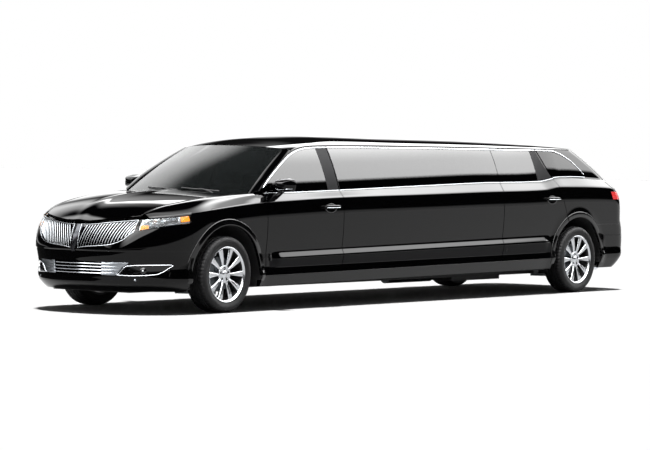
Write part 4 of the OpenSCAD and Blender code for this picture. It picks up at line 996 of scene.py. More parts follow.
front_pane = side_pane(door_f0 - 45, door_f1 + 185, 61, 6, pane_top)
rear_pane = side_pane(door_r0 - gap, xr + 735, 41, 12, pane_top)
for side, turn_over in SIDES:
    piece(f"front_pane_{side}", turn_over(front_pane), [tint_glass], f"front_door_{side}",
          [f"front_glass_{side}"])
    piece(f"rear_pane_{side}", turn_over(rear_pane), [tint_glass], f"rear_door_{side}",
          [f"rear_glass_{side}"])
quarter_tip = xr - 180


def quarter_height(x, t):
    """Height in the quarter window: a share t of the way from the belt to its upper edge."""
    return mix(belt(x) + 14, quarter_top(x), t)


k, t = lattice(np.linspace(0, 1, 61), np.linspace(0, 1, 19))
start = door_rear(quarter_height(mix(xr + 450, quarter_tip, k), t)) - 26
x = mix(start, quarter_tip, k)
outer = side_pt(x, quarter_height(x, t))
quarter_pane = skin(outer, outer - [0, glass_t, 0])
# Darker glass, with a weaker mirror image.
smoked_glass = finish("smoked_safety_glass", "#090a0b", "#0c0d0f", 60, (0.0, 0.004), IOR=1.33,
                      Transmission_Weight=1.0)
piece("fixed_panes", pair(gather(side_pane(door_f1 - 10, door_r0 + 1, 81, 6, pane_top),
                                 tag(quarter_pane, 1))), [tint_glass, smoked_glass], "body",
      ["side_glass"])

# %% Sills
x, t = lattice(np.linspace(door_f0 + 60, xr + 500, 81), ease(np.linspace(0, 1, 9)))
z = mix(level(0, x), level(1, x), t)
outer = side_pt(x, z)
inner = np.stack([x, np.full_like(x, 832 + seat), z], -1)
piece("sill_skins", pair(skin(outer, inner)), [paint, undercoat], "body", ["sills"], edge=2.0)

# %% [markdown]
# ## Wheels
# A tyre is a ring, so one profile is carried round the axle. The tread is cut into that profile as four
# grooves, and the outer ribs are cut across as well, which is why the points lie close together there. A
# Screw modifier would turn the profile too, but it could not cut blocks that differ round the ring.

# %% Rings round a wheel's axle
hub_face = 80.0
spokes, spoke_deg, studs, stud_circle = 10, 15.0, 5, 114.0


def round_axle(x, along, radius, angle):
    """Point at an angle round the left wheel's axle: the radius across it, and a
    distance along it, outward."""
    return np.stack(np.broadcast_arrays(x + radius * np.cos(angle), wheel_y + along,
                                        wheel_r + radius * np.sin(angle)), -1)


def tyre_part(x):
    """Profile from bead over the tread to the other bead and back, turned in 240 steps. Radius = crown less
    grooves, less the cuts across the outer ribs, which come at every fourth step."""
    wall = np.array([[104, 257], [108, 262], [109, 270], [112, 276], [113, 282], [117, 292], [121, 306],
                     [122.5, 318], [121, 332], [117, 344], [112, 353], [104, 360], [94, 364.5], [84, 367]])
    tread = np.linspace(80, -80, 81)
    groove = np.min(np.abs(tread[:, None] - np.array([-58, -21, 21, 58])), 1) < 4.6
    crown = 369 - 2.0 * (tread / 80)**2 - 7 * groove
    along = np.concatenate([wall[:, 0], tread, -wall[::-1, 0]])
    radius = np.concatenate([wall[:, 1], crown, wall[::-1, 1]])
    step = np.arange(240)[:, None]
    rib = (np.abs(along) > 62) & (radius > 350)
    inner = (np.abs(np.abs(along) - 40) < 12) & (radius > 366)
    cut = np.where(rib & (step % 4 == 0), 5.0, 0) + np.where(inner & (step % 4 == 2), 3.0, 0)
    return rope(round_axle(x, along, radius - cut, step * 2 * np.pi / 240), ring=True)


for end, x in (("front", xf), ("rear", xr)):
    for side, turn_over in SIDES:
        piece(f"tread_{end}_{side}", turn_over(tyre_part(x)), [rubber], f"wheel_{end}_{side}",
              [f"tyre_{end}_{side}"], sharp=30, outward=True)


# %% [markdown]
# The alloy wheel is cast in one and then turned and polished on its face. Its lip is a turned ring,
# each of the ten spokes is a bar that widens towards the lip, and the hub is a disc whose five
# pockets for the nuts are pressed into its surface by a formula. The barrel's inside and the
# pockets with their nuts are black plastic: painted shade.

# %% The lip of a rim
def lip_part(x):
    """Ring with a rounded outer lip, a dished face and a deep barrel behind it. The barrel's inside is black
    plastic: painted shade between the spokes.
    """
    profile = np.array([[107.2, 256.6], [107.2, 267.0], [110, 267.8], [113, 267], [114, 264.5], [113, 261],
                        [109, 257], [105, 254], [102, 251], [98, 248], [92, 246], [84, 245], [76, 244.8],
                        [70, 244.6], [40, 244.6], [-60, 244.6], [-113, 244.6], [-113, 266.6], [-107, 266.6],
                        [-107, 256.6]])
    part = rope(round_axle(x, profile[:, 0], profile[:, 1], np.arange(144)[:, None] * 2 * np.pi / 144),
                ring=True)
    # The inside of the barrel takes black plastic: painted shade seen between the spokes.
    inside = np.tile((np.arange(20) >= 9) & (np.arange(20) < 17), 144)
    return part[0], part[1], inside.astype(int)


print("faces of a lip:", len(lip_part(xf)[1]))


# %% Spokes, hub and brake disc
def spoke_part(x, turn):
    """Bar along a radius: width = 24 mm at the hub to 15 degrees of arc at the lip,
    face rising in a dish, and a round cornered section."""
    r = np.linspace(58, 247, 25)
    face = np.interp(r, [40, 70, 110, 150, 200, 247], [76, 78.5, 90, 97, 101, 102])
    back = np.interp(r, [40, 247], [52, 66])
    width = np.maximum(24, 2 * r * np.sin(np.radians(spoke_deg / 2)))
    ring = oval(1, 1, 24, 3.2)
    along = (face + back)[:, None] / 2 + (face - back)[:, None] * ring[:, 1]
    ridge = 3.0 * np.maximum(0, 1 - np.abs(ring[:, 0]) / 0.25) * (ring[:, 1] > 0) * np.ones_like(r)[:, None]
    side = width[:, None] * ring[:, 0]
    c, s = np.cos(turn), np.sin(turn)
    grid = np.stack([x + r[:, None] * c - side * s, wheel_y + along - ridge,
                     wheel_r + r[:, None] * s + side * c], -1)
    return rope(grid)


def hub_part(x):
    """Disc with a domed plain cap in the middle. Each pocket lowers the face by 20 mm where the distance to a
    stud is under 15 mm, and its nut stands up again inside 8 mm. Pocket and nut are black plastic: painted
    shade."""
    r = np.concatenate([np.linspace(0, 31, 12), [33, 35], np.linspace(36, 82, 47), [85, 86]])
    angle = (np.arange(180) * 2 * np.pi / 180)[:, None]
    nut = np.radians(18 + np.arange(studs) * 360 / studs)
    across, up_face = r * np.cos(angle), r * np.sin(angle)
    dist = np.min(np.hypot(across - stud_circle / 2 * np.cos(nut)[:, None, None],
                           up_face - stud_circle / 2 * np.sin(nut)[:, None, None]), 0)
    pocket = ease((15.5 - dist) / 2)
    face = hub_face + 9 * (r < 34) - 8 * (np.clip(r, 0, 33) / 33)**4 * (r < 34) - 3 * (r > 83)
    face = face - 20 * pocket + 13 * ease((8.5 - dist) / 1.5)
    grid = np.concatenate([round_axle(x, face, r, angle),
                           round_axle(x, 20.0, np.array([86.0, 40.0, 0.0]), angle)], 1)
    part = rope(grid, ring=True)
    kind = np.zeros(grid.shape[:2], int)
    # Faces of the pockets and nuts take black plastic: painted shade in the pockets.
    kind[:, :len(r)] = pocket > 0.5
    return part[0], part[1], kind.reshape(-1)


def disc_part(x):
    """Brake disc behind the spokes, with its hat."""
    profile = np.array([[-14, 60], [10, 60], [10, 95], [8, 100], [8, 166], [6, 168], [-12, 168], [-14, 166]])
    return rope(round_axle(x, profile[:, 0], profile[:, 1], np.arange(96)[:, None] * 2 * np.pi / 96),
                ring=True)


for end, x in (("front", xf), ("rear", xr)):
    turned = [spoke_part(x, k * 2 * np.pi / spokes) for k in range(spokes)]
    wheel = gather(lip_part(x), *turned, hub_part(x), tag(disc_part(x), 2))
    for side, turn_over in SIDES:
        piece(f"alloy_{end}_{side}", turn_over(wheel), [alloy, black_plastic, steel], f"wheel_{end}_{side}",
              [f"rim_{end}_{side}"], sharp=35, outward=True)

# %% [markdown]
# ## Grille
# Two wings of slanted bars stand on either side of a plain spear. Every bar follows the nose from the
# bumper's edge to the hood's edge and has a bright face on a blade in gloss black. The black blade is painted
# shade for the gaps between the bars, so bright lines stand on black.
# Copies of one straight bar would be quicker, but they would not follow the nose.

# %% Grille bars, surround, backing and spear
wing_y0, wing_y1, wing_lean, grille_bars = 46.0, 606.0, 104.0, 19
# Brushed plate: bright but soft, so the bars catch light without a clear image. The
# spear's plate is smoked darker.
bar_plate = finish("brushed_grille_plate", "#85888b", "#a2a5a8", 5, (0.16, 0.26), Metallic=1.0)
spear_plate = finish("smoked_grille_plate", "#26272a", "#36373a", 6, (0.2, 0.3), Metallic=0.8)


def wing_lo(y):
    """Lower edge of the grille, above the bumper's edge."""
    return bumper_top(y) + 12


def wing_hi(y):
    """Upper edge of the grille, below the hood's edge."""
    return hood_z(hood_edge(y), y) - 40


def wing_at(y, t, back):
    """Point of the wing: t from the lower to the upper edge, set back from the nose."""
    z = mix(wing_lo(y), wing_hi(y), t)
    return np.stack(np.broadcast_arrays(nose_x(y, z) - back, y, z), -1)


def bar_path(y0):
    """Path of a bar up the nose: it leans out as it rises and ends at the wing's outer edge."""
    lean = wing_lean * (0.65 + 0.35 * y0 / wing_y1)
    top = np.clip((wing_y1 - y0) / lean + 0.35, 0, 1)**(1 / 1.3)
    t = np.linspace(0, top, 17)
    return wing_at(y0 + lean * (t**1.3 - 0.35), t, 0)


def bar_part(y0):
    """One bar, square to the nose: a bright flat face 3 mm proud of a blade in gloss black, carried along the
    path. The black of the blade is painted shade between the bars.
    """
    mid = bar_path(y0)
    slope = (nose_x(mid[:, 1] + 5, mid[:, 2]) - nose_x(mid[:, 1] - 5, mid[:, 2])) / 10
    fore = unit(np.stack([1 + 0 * slope, -slope, 0 * slope], -1))
    aside = np.stack([-fore[:, 1], fore[:, 0], 0 * slope], -1)
    face = rope(sweep(mid - 8 * fore, fore, aside, oval(8, 9, 12, 5)))
    # The blade is gloss black: painted shade between the bars.
    blade = rope(sweep(mid - 22 * fore, fore, aside, oval(30, 10, 12, 5)))
    return gather(face, tag(blade, 1))


def surround_part():
    """Plated edge round a wing: a closed path along the lower edge, up the outer
    end, back and down the spear."""
    k = np.linspace(0, 1, 49)[:-1]
    ends = np.linspace(0, 1, 13)[:-1]
    y = np.concatenate([mix(wing_y0, wing_y1, k), wing_y1 + 6 + 0 * ends, mix(wing_y1, wing_y0, k),
                        wing_y0 + 0 * ends])
    t = np.concatenate([0 * k, ends, 0 * k + 1, 1 - ends])
    path = wing_at(y, t, 2)
    along = unit(np.roll(path, -1, 0) - np.roll(path, 1, 0))
    out = np.tile([1.0, 0, 0], (len(y), 1))
    return rope(sweep(path, out, unit(np.cross(along, out)), oval(14, 8, 12, 2.6)), ring=True)


wing = [bar_part(y) for y in np.linspace(wing_y0 + 26, wing_y1 + 28, grille_bars)]
y, t = lattice(np.linspace(0, wing_y1 + 6, 31), np.linspace(-0.03, 1.03, 9))
backing = skin(wing_at(y, t, 46), wing_at(y, t, 56))
t, k = lattice(np.linspace(-0.06, 1.02, 25), np.linspace(-1, 1, 17))
z = mix(bumper_top(0.0) + 2, 842.0, t)
ridge = mix(40, 12, np.clip(t, 0, 1)) * (1 - np.abs(k))
spear = np.stack([nose_x(0.0, z) + ridge - 3, k * mix(15, 66, np.clip(t, 0, 1)**1.2), z], -1)
piece("grille_wings", gather(pair(gather(*wing, surround_part())), tag(pair(backing), 1)),
      [bar_plate, gloss_black], "body", ["grille"], sharp=45, outward=True)
piece("grille_spear", skin(spear, spear * [0, 1, 1] + [nose_at(700.0) - 60, 0, 0]), [spear_plate],
      "body", edge=1.5)

# %% [markdown]
# ## Lamps
# A headlamp is a clear shell with a bright reflector behind it. The reflector is the
# same surface set back, pressed deeper where three bowls sit, each with its own
# small round lens. The amber corners at both ends are lit.


# %% Headlamp shells and reflectors
# Amber acrylic over a burning bulb: it glows by itself.
amber_lit = finish("lit_amber_acrylic", "#e07a08", "#ffa51e", 6, (0.1, 0.2), IOR=1.49,
                   Emission_Color=linear("#ff9a14"), Emission_Strength=1.0)
# Aluminium vapour on plastic: a clean mirror.
mirror_plate = finish("vacuum_metallised_reflector", "#b9bdc1", "#e0e3e6", 5, (0.08, 0.16), Metallic=1.0)
lamp_q0 = 0.437
lamp_top = lamp_edge + 8


def lamp_at(k, r, back=0.0):
    """Point of the lamp: k from its inner to its outer end round the nose, r from
    its lower to its upper edge."""
    share = nose_share(lamp_x0, 880.0)
    p = nose_pt(mix(lamp_q0, share, k), 880.0 + 0 * k)
    z = mix(bumper_top(p[..., 1]) + seat, shoulder(p[..., 0]) - lamp_top, r)
    q = mix(lamp_q0, nose_share(lamp_x0, z), k)
    a = mix(lamp_q0, 1.0, k) * np.pi / 2
    return nose_pt(q, z) - np.stack([np.cos(a) * back, np.sin(a) * back, 0 * a], -1)


BOWLS = ((0.2, 0.42, 1.0), (0.43, 0.52, 1.15), (0.66, 0.6, 1.0))
k, r = lattice(np.linspace(0, 1, 81), np.linspace(0, 1, 33))
shell = skin(lamp_at(k, r), lamp_at(k, r, 4.0))
hollow = 0 * k
for kc, rc, size in BOWLS:
    d = np.hypot((k - kc) / 0.115, (r - rc) / 0.5) / size
    hollow = np.maximum(hollow, np.sqrt(np.maximum(0, 1 - d * d)))
rib = 3 * np.cos(k * 90) * (hollow < 0.05)
inside = lamp_at(0.015 + 0.97 * k, 0.04 + 0.92 * r, 24 + 46 * hollow + rib)
bowl = skin(inside, lamp_at(0.015 + 0.97 * k, 0.04 + 0.92 * r, 106.0))
bowl[2][:80 * 32] = np.where(hollow[:-1, :-1].ravel() > 0.05, 0, 2)
# Grey plated plastic round the bowls: a dull mirror.
housing = finish("grey_lamp_housing", "#9a9ea1", "#babec1", 4, (0.2, 0.3), Metallic=0.8)


print("faces of a reflector:", len(bowl[1]))


# %% Round lenses, their rings and the amber corners
def bulb_part(kc, rc):
    """Small round lens in front of a bowl: a half sphere of 19 mm on a short stem."""
    a, b = lattice(np.arange(24) * 2 * np.pi / 24, np.linspace(0, np.pi / 2, 9))
    c = lamp_at(np.array(kc), np.array(rc), 58.0)
    turn = mix(lamp_q0, 1.0, kc) * np.pi / 2
    out = np.array([np.cos(turn), np.sin(turn), 0])
    side = np.array([-np.sin(turn), np.cos(turn), 0])
    ball = 19 * (np.cos(b)[..., None] * (np.cos(a)[..., None] * side
                                         + np.sin(a)[..., None] * np.array([0, 0, 1.0]))
                 + np.sin(b)[..., None] * out) + c
    return rope(np.concatenate([ball, np.broadcast_to(c - 12 * out, (24, 1, 3))], 1), ring=True)


def bezel_part(kc, rc, size):
    """Dark ring round a bowl: a circle about the lens's own axis with a small round section."""
    a, b = lattice(np.arange(40) * 2 * np.pi / 40, np.arange(10) * 2 * np.pi / 10)
    turn = mix(lamp_q0, 1.0, kc) * np.pi / 2
    out, side = np.array([np.cos(turn), np.sin(turn), 0]), np.array([-np.sin(turn), np.cos(turn), 0])
    far = (31 * size + 5 * np.cos(b))[..., None]
    ring = far * (np.cos(a)[..., None] * side + np.sin(a)[..., None] * np.array([0, 0, 1.0]))
    return rope(lamp_at(np.array(kc), np.array(rc), 26.0) + ring + 5 * np.sin(b)[..., None] * out, ring=True)


bezels = gather(*[bezel_part(*bowl_at) for bowl_at in BOWLS])
bulbs = gather(*[bulb_part(kc, rc) for kc, rc, size in BOWLS])
k, r = lattice(np.linspace(0.02, 0.17, 15), np.linspace(0.05, 0.5, 9))
corner = skin(lamp_at(k, r * (1 - (k - 0.02) * 2.5), 10.0), lamp_at(k, r * (1 - (k - 0.02) * 2.5), 22.0))
k, r = lattice(np.linspace(0.8, 0.985, 19), np.linspace(0.3, 0.95, 11))
ripple = 3 * np.cos(k * 300)
signal = skin(lamp_at(k, r, 9.0 + ripple), lamp_at(k, r, 24.0))
piece("headlamp_shells", pair(shell), [clear_lens], "body", ["front_lamps"], edge=1.5)
piece("headlamp_reflectors", pair(bowl), [mirror_plate, black_plastic, housing], "body")
piece("headlamp_bezels", pair(bezels), [gloss_black], "body", outward=True)
piece("headlamp_lenses", pair(bulbs), [clear_lens], "body", outward=True)
piece("corner_reflectors", pair(corner), [amber_lit], "body")
piece("turn_signals", pair(signal), [amber_lit], "body")

# %% [markdown]
# ## Lower grille and fog lamps
# Four plated bars cross the bumper's mouth, and two silver panels carry their lines on as
# shallow ribs. Beside them, each fog lamp sits in a dark recess with a thin plated
# outline. All of it is the nose's surface, moved in or out.

# %% Lower bars, silver panels, fog recess
bar_half = 300.0


def on_nose(y, z, proud=0.0):
    """Point on the nose at a width and a height, moved forward by a distance."""
    return np.stack(np.broadcast_arrays(nose_x(y, z) + proud, y, z), -1)


y = np.linspace(-bar_half, bar_half, 49)
fore, above = np.tile([1.0, 0, 0], (49, 1)), np.tile([0, 0, 1.0], (49, 1))
bars = [rope(sweep(on_nose(y, h + 0 * y, -26.0), fore, above, oval(36, 13, 14, 2.6)))
        for h in (386.0, 416.0, 446.0, 476.0)]
y, z = lattice(np.linspace(-lower_half - 8, lower_half + 8, 41), np.linspace(lower_z0 - 6, lower_z1 + 6, 7))
mouth = skin(on_nose(y, z, -52.0), on_nose(y, z, -60.0))
k, z = lattice(np.linspace(0, 1, 21), np.linspace(lower_z0 + 6, lower_z1 - 4, 49))
outer_end = np.interp(z, [365, 388, 414, 444, 462, 480, 495], [438, 460, 482, 506, 532, 556, 570])
y = mix(bar_half - 4 + (z - lower_z0) * 0.1, outer_end, k)
ribs = 3 * np.cos(2 * np.pi * (z - 386) / 30) * (1 - k)
flank = skin(on_nose(y, z, 2.5 + ribs), on_nose(y, z, -8.0))
piece("lower_grille_bars", gather(*bars, tag(mouth, 1)), [chrome, gloss_black], "body",
      ["lower_grille"], outward=True)
piece("bumper_side_panels", pair(flank), [satin], "body", edge=3.0)

# %% Fog lamps and parking sensors
FOG_LINE = np.array([[456, 374], [478, 388], [500, 414], [524, 444], [556, 462], [620, 468], [740, 472],
                     [850, 474], [862, 466], [838, 440], [812, 408], [778, 384], [700, 374], [580, 370]],
                    float)
t = np.arange(112) / 112 * len(FOG_LINE)
i = t.astype(int)
step = (t - i)[:, None]
loop = mix(FOG_LINE[i], FOG_LINE[(i + 1) % len(FOG_LINE)], step)
path = on_nose(loop[:, 0], loop[:, 1], 1.0)
along = unit(np.roll(path, -1, 0) - np.roll(path, 1, 0))
face = unit(np.stack([np.ones(112), (loop[:, 0] / 700)**2, np.zeros(112)], -1))
fog_trim = rope(sweep(path, face, unit(np.cross(along, face)), oval(7, 7, 10)), ring=True)
y, z = lattice(np.linspace(fog_y0 - 6, fog_y1 + 6, 33), np.linspace(lower_z0 - 6, fog_z1 + 6, 11))
recess = skin(on_nose(y, z, -26.0), on_nose(y, z, -38.0))


def round_lens(y0, z0, radius, depth, proud):
    """Round lamp on the nose: rings from the middle out, domed, with a flat back."""
    p = on_nose(np.array(y0), np.array(z0), proud)
    out = unit(np.array([1.0, 0.75, 0.0]))
    side = np.array([-out[1], out[0], 0])
    a = (np.arange(40) * 2 * np.pi / 40)[:, None]
    s = np.array([0, 0.25, 0.5, 0.7, 0.85, 0.95, 1.0, 1.0, 0.5, 0.0])
    h = np.concatenate([depth * (1 - s[:7]**2), [-16, -16, -16]])
    return rope(p + (s * radius * np.cos(a))[..., None] * side
                + (s * radius * np.sin(a))[..., None] * [0, 0, 1.0] + (h + 0 * a)[..., None] * out, ring=True)


piece("fog_lamp_trims", pair(fog_trim), [chrome], "body", outward=True)
piece("fog_lamp_recesses", pair(recess), [gloss_black], "body")
fog_lens = gather(round_lens(675.0, 418.0, 30.0, 8.0, -14.0),
                  tag(round_lens(675.0, 418.0, 13.0, 12.0, -6.0), 1))
piece("fog_lamp_lenses", pair(fog_lens), [gloss_black, mirror_plate], "body", outward=True)
piece("parking_sensors", pair(round_lens(620.0, 330.0, 10.0, 2.0, 1.0)), [satin], "body", outward=True)

# %% [markdown]
# ## Trim along the windows
# A plated strip frames the glass above and below. It is one line on the real car, but it is cut at every shut
# line, so each door carries its own length. A thin oval carried along the side surface makes each length.

# %% Plated strips
def strip(x0, x1, n, height, wide, proud):
    """Oval bar along the side from one station to another, at a height given as a function of the station."""
    x = np.linspace(x0, x1, n)
    z = height(x)
    out = side_normal(x, z)
    path = side_pt(x, z) + out * proud
    along = unit(np.gradient(path, axis=0))
    return rope(sweep(path, out, unit(np.cross(along, out)), oval(7, wide, 12, 2.4)))


def upper_trim(x):
    """Line of the upper strip: 13 mm below the wall's top."""
    return wall_top(x) - 13


def belt_trim(x):
    """Line of the lower strip: just above the belt."""
    return belt(x) + 1


def quarter_trim(x):
    """Upper strip behind the rear door: it leaves the wall's top line and falls to the window's tip."""
    return np.minimum(quarter_top(x) + 14, wall_top(x) - 13)


front_trims = gather(strip(door_f0 - gap - 18, door_f1 + gap + 2, 61, upper_trim, 12, 0.5),
                     tag(strip(door_f0 - gap - 18, door_f1 + gap + 2, 41, belt_trim, 11, 1.0), 1))
rear_trims = gather(strip(door_r0 - gap - 2, xr + 636, 31, upper_trim, 12, 0.5),
                    tag(strip(door_r0 - gap - 2, xr + 446, 41, belt_trim, 11, 1.0), 1))
fixed_trims = gather(strip(door_f1 - 2, door_r0 + 2, 61, upper_trim, 12, 0.5),
                     tag(strip(door_f1 - 2, door_r0 + 2, 61, belt_trim, 11, 1.0), 1),
                     strip(xr + 610, quarter_tip - 14, 61, quarter_trim, 12, 0.5),
                     tag(strip(xr + 438, quarter_tip - 14, 31, lambda x: belt(x) + 8, 11, 1.0), 1))
for side, turn_over in SIDES:
    piece(f"front_trims_{side}", turn_over(front_trims), [chrome, bar_plate], f"front_door_{side}",
          outward=True)
    piece(f"rear_trims_{side}", turn_over(rear_trims), [chrome, bar_plate], f"rear_door_{side}", outward=True)
piece("fixed_trims", pair(fixed_trims), [chrome, bar_plate], "body", outward=True)


# %% [markdown]
# The pillars between the panes wear a matt black film, so that glass and pillars read as one dark
# band. Each plate is the side surface between two upright lines.

# %% Black pillar plates beside the panes
# Matt vinyl film: black with almost no mirror image.
film = finish("matt_black_film", "#08080a", "#101012", 2.0, (0.4, 0.5), 0.02, IOR=1.5,
              Specular_IOR_Level=0.07)


def plate(line_a, line_b, n):
    """Matt plate between two upright lines, flush with the glass: both lines are
    stations as functions of height."""
    k, t = lattice(np.linspace(0, 1, n), np.linspace(0, 1, 15))
    x0 = mix(line_a(1350.0), line_b(1350.0), k)
    z = mix(belt(x0) + 8, wall_top(x0) - 20, t)
    x = mix(line_a(z), line_b(z), k)
    outer = side_pt(x, z)
    return skin(outer, outer - [0, glass_t, 0])


def upright(x):
    """Line that stands at one station at all heights."""
    return lambda z: x + 0 * z


front_plate = plate(upright(door_f1 + 182), upright(door_f1 + gap + 2), 9)
rear_plate = plate(upright(xr + 732), lambda z: door_rear(z) + gap + 1, 13)
stretch_plate = plate(upright(door_f1 - 2), upright(door_f1 - 12), 3)
for side, turn_over in SIDES:
    piece(f"front_pillar_plate_{side}", turn_over(front_plate), [film], f"front_door_{side}", edge=1.0)
    piece(f"rear_pillar_plate_{side}", turn_over(rear_plate), [film], f"rear_door_{side}", edge=1.0)
piece("stretch_plates", pair(stretch_plate), [film], "body")


# %% [markdown]
# A dull dark sheet over the undercut below the ledge breaks the mirror image of the floor there, so the
# band reads black: painted shade under the ledge.

# %% Matt band under the ledge, painted shade
def ledge_shade_sheet(x0, x1, n):
    """Dark matt sheet over the undercut below the ledge, painted shade there: the side surface between two
    section lines, lifted by 1.2 mm."""
    x, t = lattice(np.linspace(x0, x1, n), np.linspace(0, 1, 7))
    z = mix(level(2, x) + 3, level(3, x) - 5, t)
    return skin(side_pt(x, z) + side_normal(x, z) * 1.2, side_pt(x, z) - side_normal(x, z) * 3)


# Painted shade: dark matt film along the undercut below the ledge.
front_shade_band = ledge_shade_sheet(door_f0 - 60, door_f1 + gap + 1, 41)
rear_shade_band = ledge_shade_sheet(door_r0 - gap - 1, xr + 540, 31)
for side, turn_over in SIDES:
    piece(f"front_door_band_{side}", turn_over(front_shade_band), [film], f"front_door_{side}")
    piece(f"rear_door_band_{side}", turn_over(rear_shade_band), [film], f"rear_door_{side}")
piece("stretch_shade_bands", pair(ledge_shade_sheet(door_f1 - 1, door_r0 + 1, 61)), [film])

# %% [markdown]
# ## Wheel-arch mouldings
# A black band follows each arch on the outside of the panels. It is the side surface again, read in polar
# coordinates round the wheel, and lifted by a few millimetres; at the rear it is cut where the door ends.

# %% Arch bands
def arch_band(arch, a0, a1, n):
    """Band 60 mm wide round an arch from one angle to another: side surface at polar
    places, with rounded edges."""
    a, k = lattice(np.radians(np.linspace(a0, a1, n)), (1 - np.cos(np.linspace(0, np.pi, 13))) / 2)
    r = arch[2] + 0.5 + 60 * k
    x, z = arch[0] + r * np.cos(a), arch[1] + r * np.sin(a)
    lift = 1.0 + 4.0 * np.sqrt(np.maximum(0, 1 - (2 * k - 1)**8))
    return skin(side_pt(x, z) + side_normal(x, z) * lift[..., None], side_pt(x, z) - side_normal(x, z) * 4)


def arch_lip(arch, y0, a0, a1, n):
    """Inner lip of an arch: a strip at the arch's radius from the wheel liner's edge out to the panel."""
    a, k = lattice(np.radians(np.linspace(a0, a1, n)), np.linspace(0, 1, 5))
    x, z = arch[0] + arch[2] * np.cos(a), arch[1] + arch[2] * np.sin(a)
    lip = np.stack([x, mix(y0 - 4, side_y(x, z) - 6, k), z], -1)
    away = np.stack([np.cos(a), 0 * a, np.sin(a)], -1)
    return skin(lip + away * 0.4, lip + away * 3.4)


lips = gather(arch_lip(front_arch, 894.0, -5, 185, 97), arch_lip(rear_arch, 842.0, 65.5, 185, 61))
piece("arch_lips", pair(lips), [black_plastic])
door_band = arch_band(rear_arch, -4, 62.4, 41)
piece("arch_bands", pair(gather(arch_band(front_arch, -5, 185, 97), arch_band(rear_arch, 64.6, 185, 61))),
      [gloss_black])
piece("arch_band_left", door_band, [gloss_black], "rear_door_left")
piece("arch_band_right", mirrored(door_band), [gloss_black], "rear_door_right")

# %% [markdown]
# ## Door mirrors and handles
# The mirror's head is a dome over a rounded rectangle, flat behind where the glass sits, on an arm that grows
# out of the door. The handle is a bowed bar on two feet with a plated strip along it.

# %% Mirrors
mirror_z, mirror_back, mirror_depth = 1106.0, 52.0, 132.0
mirror_x = door_f0 - 190
mirror_y = float(side_y(np.array(mirror_x), np.array(mirror_z + 12))) + seat


def mirror_pt(u, v, bulge):
    """Point of the head: u across and v up a rounded rectangle; bulge 0 is the flat
    rear face and 1 the dome."""
    e = np.maximum(np.abs(u), np.abs(v))**3
    return np.stack([mirror_x - mirror_back + bulge * mix(mirror_depth - 14 * u, 18, e),
                     mirror_y + 92 + 110 * u * (1 - 0.16 * v * v),
                     mirror_z + 120 + 68 * v * (1 - 0.2 * u * u)], -1)


u, v = lattice(np.sin(np.linspace(-1, 1, 41) * np.pi / 2), np.sin(np.linspace(-1, 1, 41) * np.pi / 2))
head = skin(mirror_pt(u, v, 1.0), mirror_pt(u, v, 0.0))
glass_face = mirror_pt(u * 0.9, v * 0.88, 0.0) - [1.5, 0, 0]
mirror_glass = skin(glass_face, glass_face + [4, 0, 0])
t = np.linspace(0, 1, 17)
arm_path = np.stack([mirror_x + 5 + 0 * t, mirror_y - 14 + 112 * t, mirror_z + 8 + 54 * ease(t)], -1)
arm_size = mix(1.0, 0.72, t)
arm_ring = oval(1, 1, 20, 3.0)
arm = rope(arm_path[:, None] + np.stack([arm_ring[:, 0] * 92 * arm_size[:, None], np.zeros((17, 20)),
                                         arm_ring[:, 1] * 40 * arm_size[:, None]], -1))
a = np.linspace(-1, 1, 41)
bright = mirror_pt(a * 0.93, np.full(41, -0.62), 1.0)
strip_ring = oval(5, 7, 10)
bright_strip = rope(bright[:, None] + np.stack([np.tile(strip_ring[:, 0], (41, 1)), np.zeros((41, 10)),
                                                np.tile(strip_ring[:, 1], (41, 1))], -1))


print("faces of a mirror head:", len(head[1]))


# %% Handles
def handle_part(x0, z0):
    """Bar of 256 mm bowed out 10 mm over a hand's room, with its two feet on the door."""
    y0 = float(side_y(np.array(x0), np.array(z0)))
    s = np.linspace(-1, 1, 41)
    path = np.stack([x0 + 128 * s, y0 + 26 + 10 * (1 - s**4), z0 + 0 * s], -1)
    ring = oval(1, 1, 16, 2.6)
    size = np.sqrt(np.maximum(0.02, 1 - np.abs(s)**7))[:, None]
    bar = rope(path[:, None] + np.stack([0 * size * ring[:, 0], ring[:, 0] * 17 * size,
                                         ring[:, 1] * 31 * size], -1))
    line = rope(path[3:-3, None] + [0, 7.5, -9]
                + np.stack([np.zeros((35, 10)), np.tile(oval(3, 4, 10)[:, 0], (35, 1)),
                            np.tile(oval(3, 4, 10)[:, 1], (35, 1))], -1))
    rise = np.linspace(0, 34, 5)[:, None]
    feet = [rope(np.stack([x0 + k + 17 * ring[:, 0] * 2 + 0 * rise, y0 - 6 + rise + 0 * ring[:, 0],
                           z0 + 22 * ring[:, 1] + 0 * rise], -1)) for k in (-104, 104)]
    return gather(bar, *feet, tag(line, 1))


def cup_part(x0, z0):
    """Dark oval behind the bar: rings of an ellipse on the side surface, with a raised rim."""
    a, s = lattice(np.arange(48) * 2 * np.pi / 48, np.array([1.0, 0.93, 0.8, 0.5, 0.0]))
    x, z = x0 + 92 * s * np.cos(a), z0 - 16 + 46 * s * np.sin(a)
    lift = np.array([0.4, 2.2, 1.6, 0.8, 0.6])
    front = side_pt(x, z) + side_normal(x, z) * lift[None, :, None]
    rear = side_pt(x, z) - side_normal(x, z) * 2.0
    return rope(np.concatenate([front, rear[:, ::-1]], 1), ring=True)


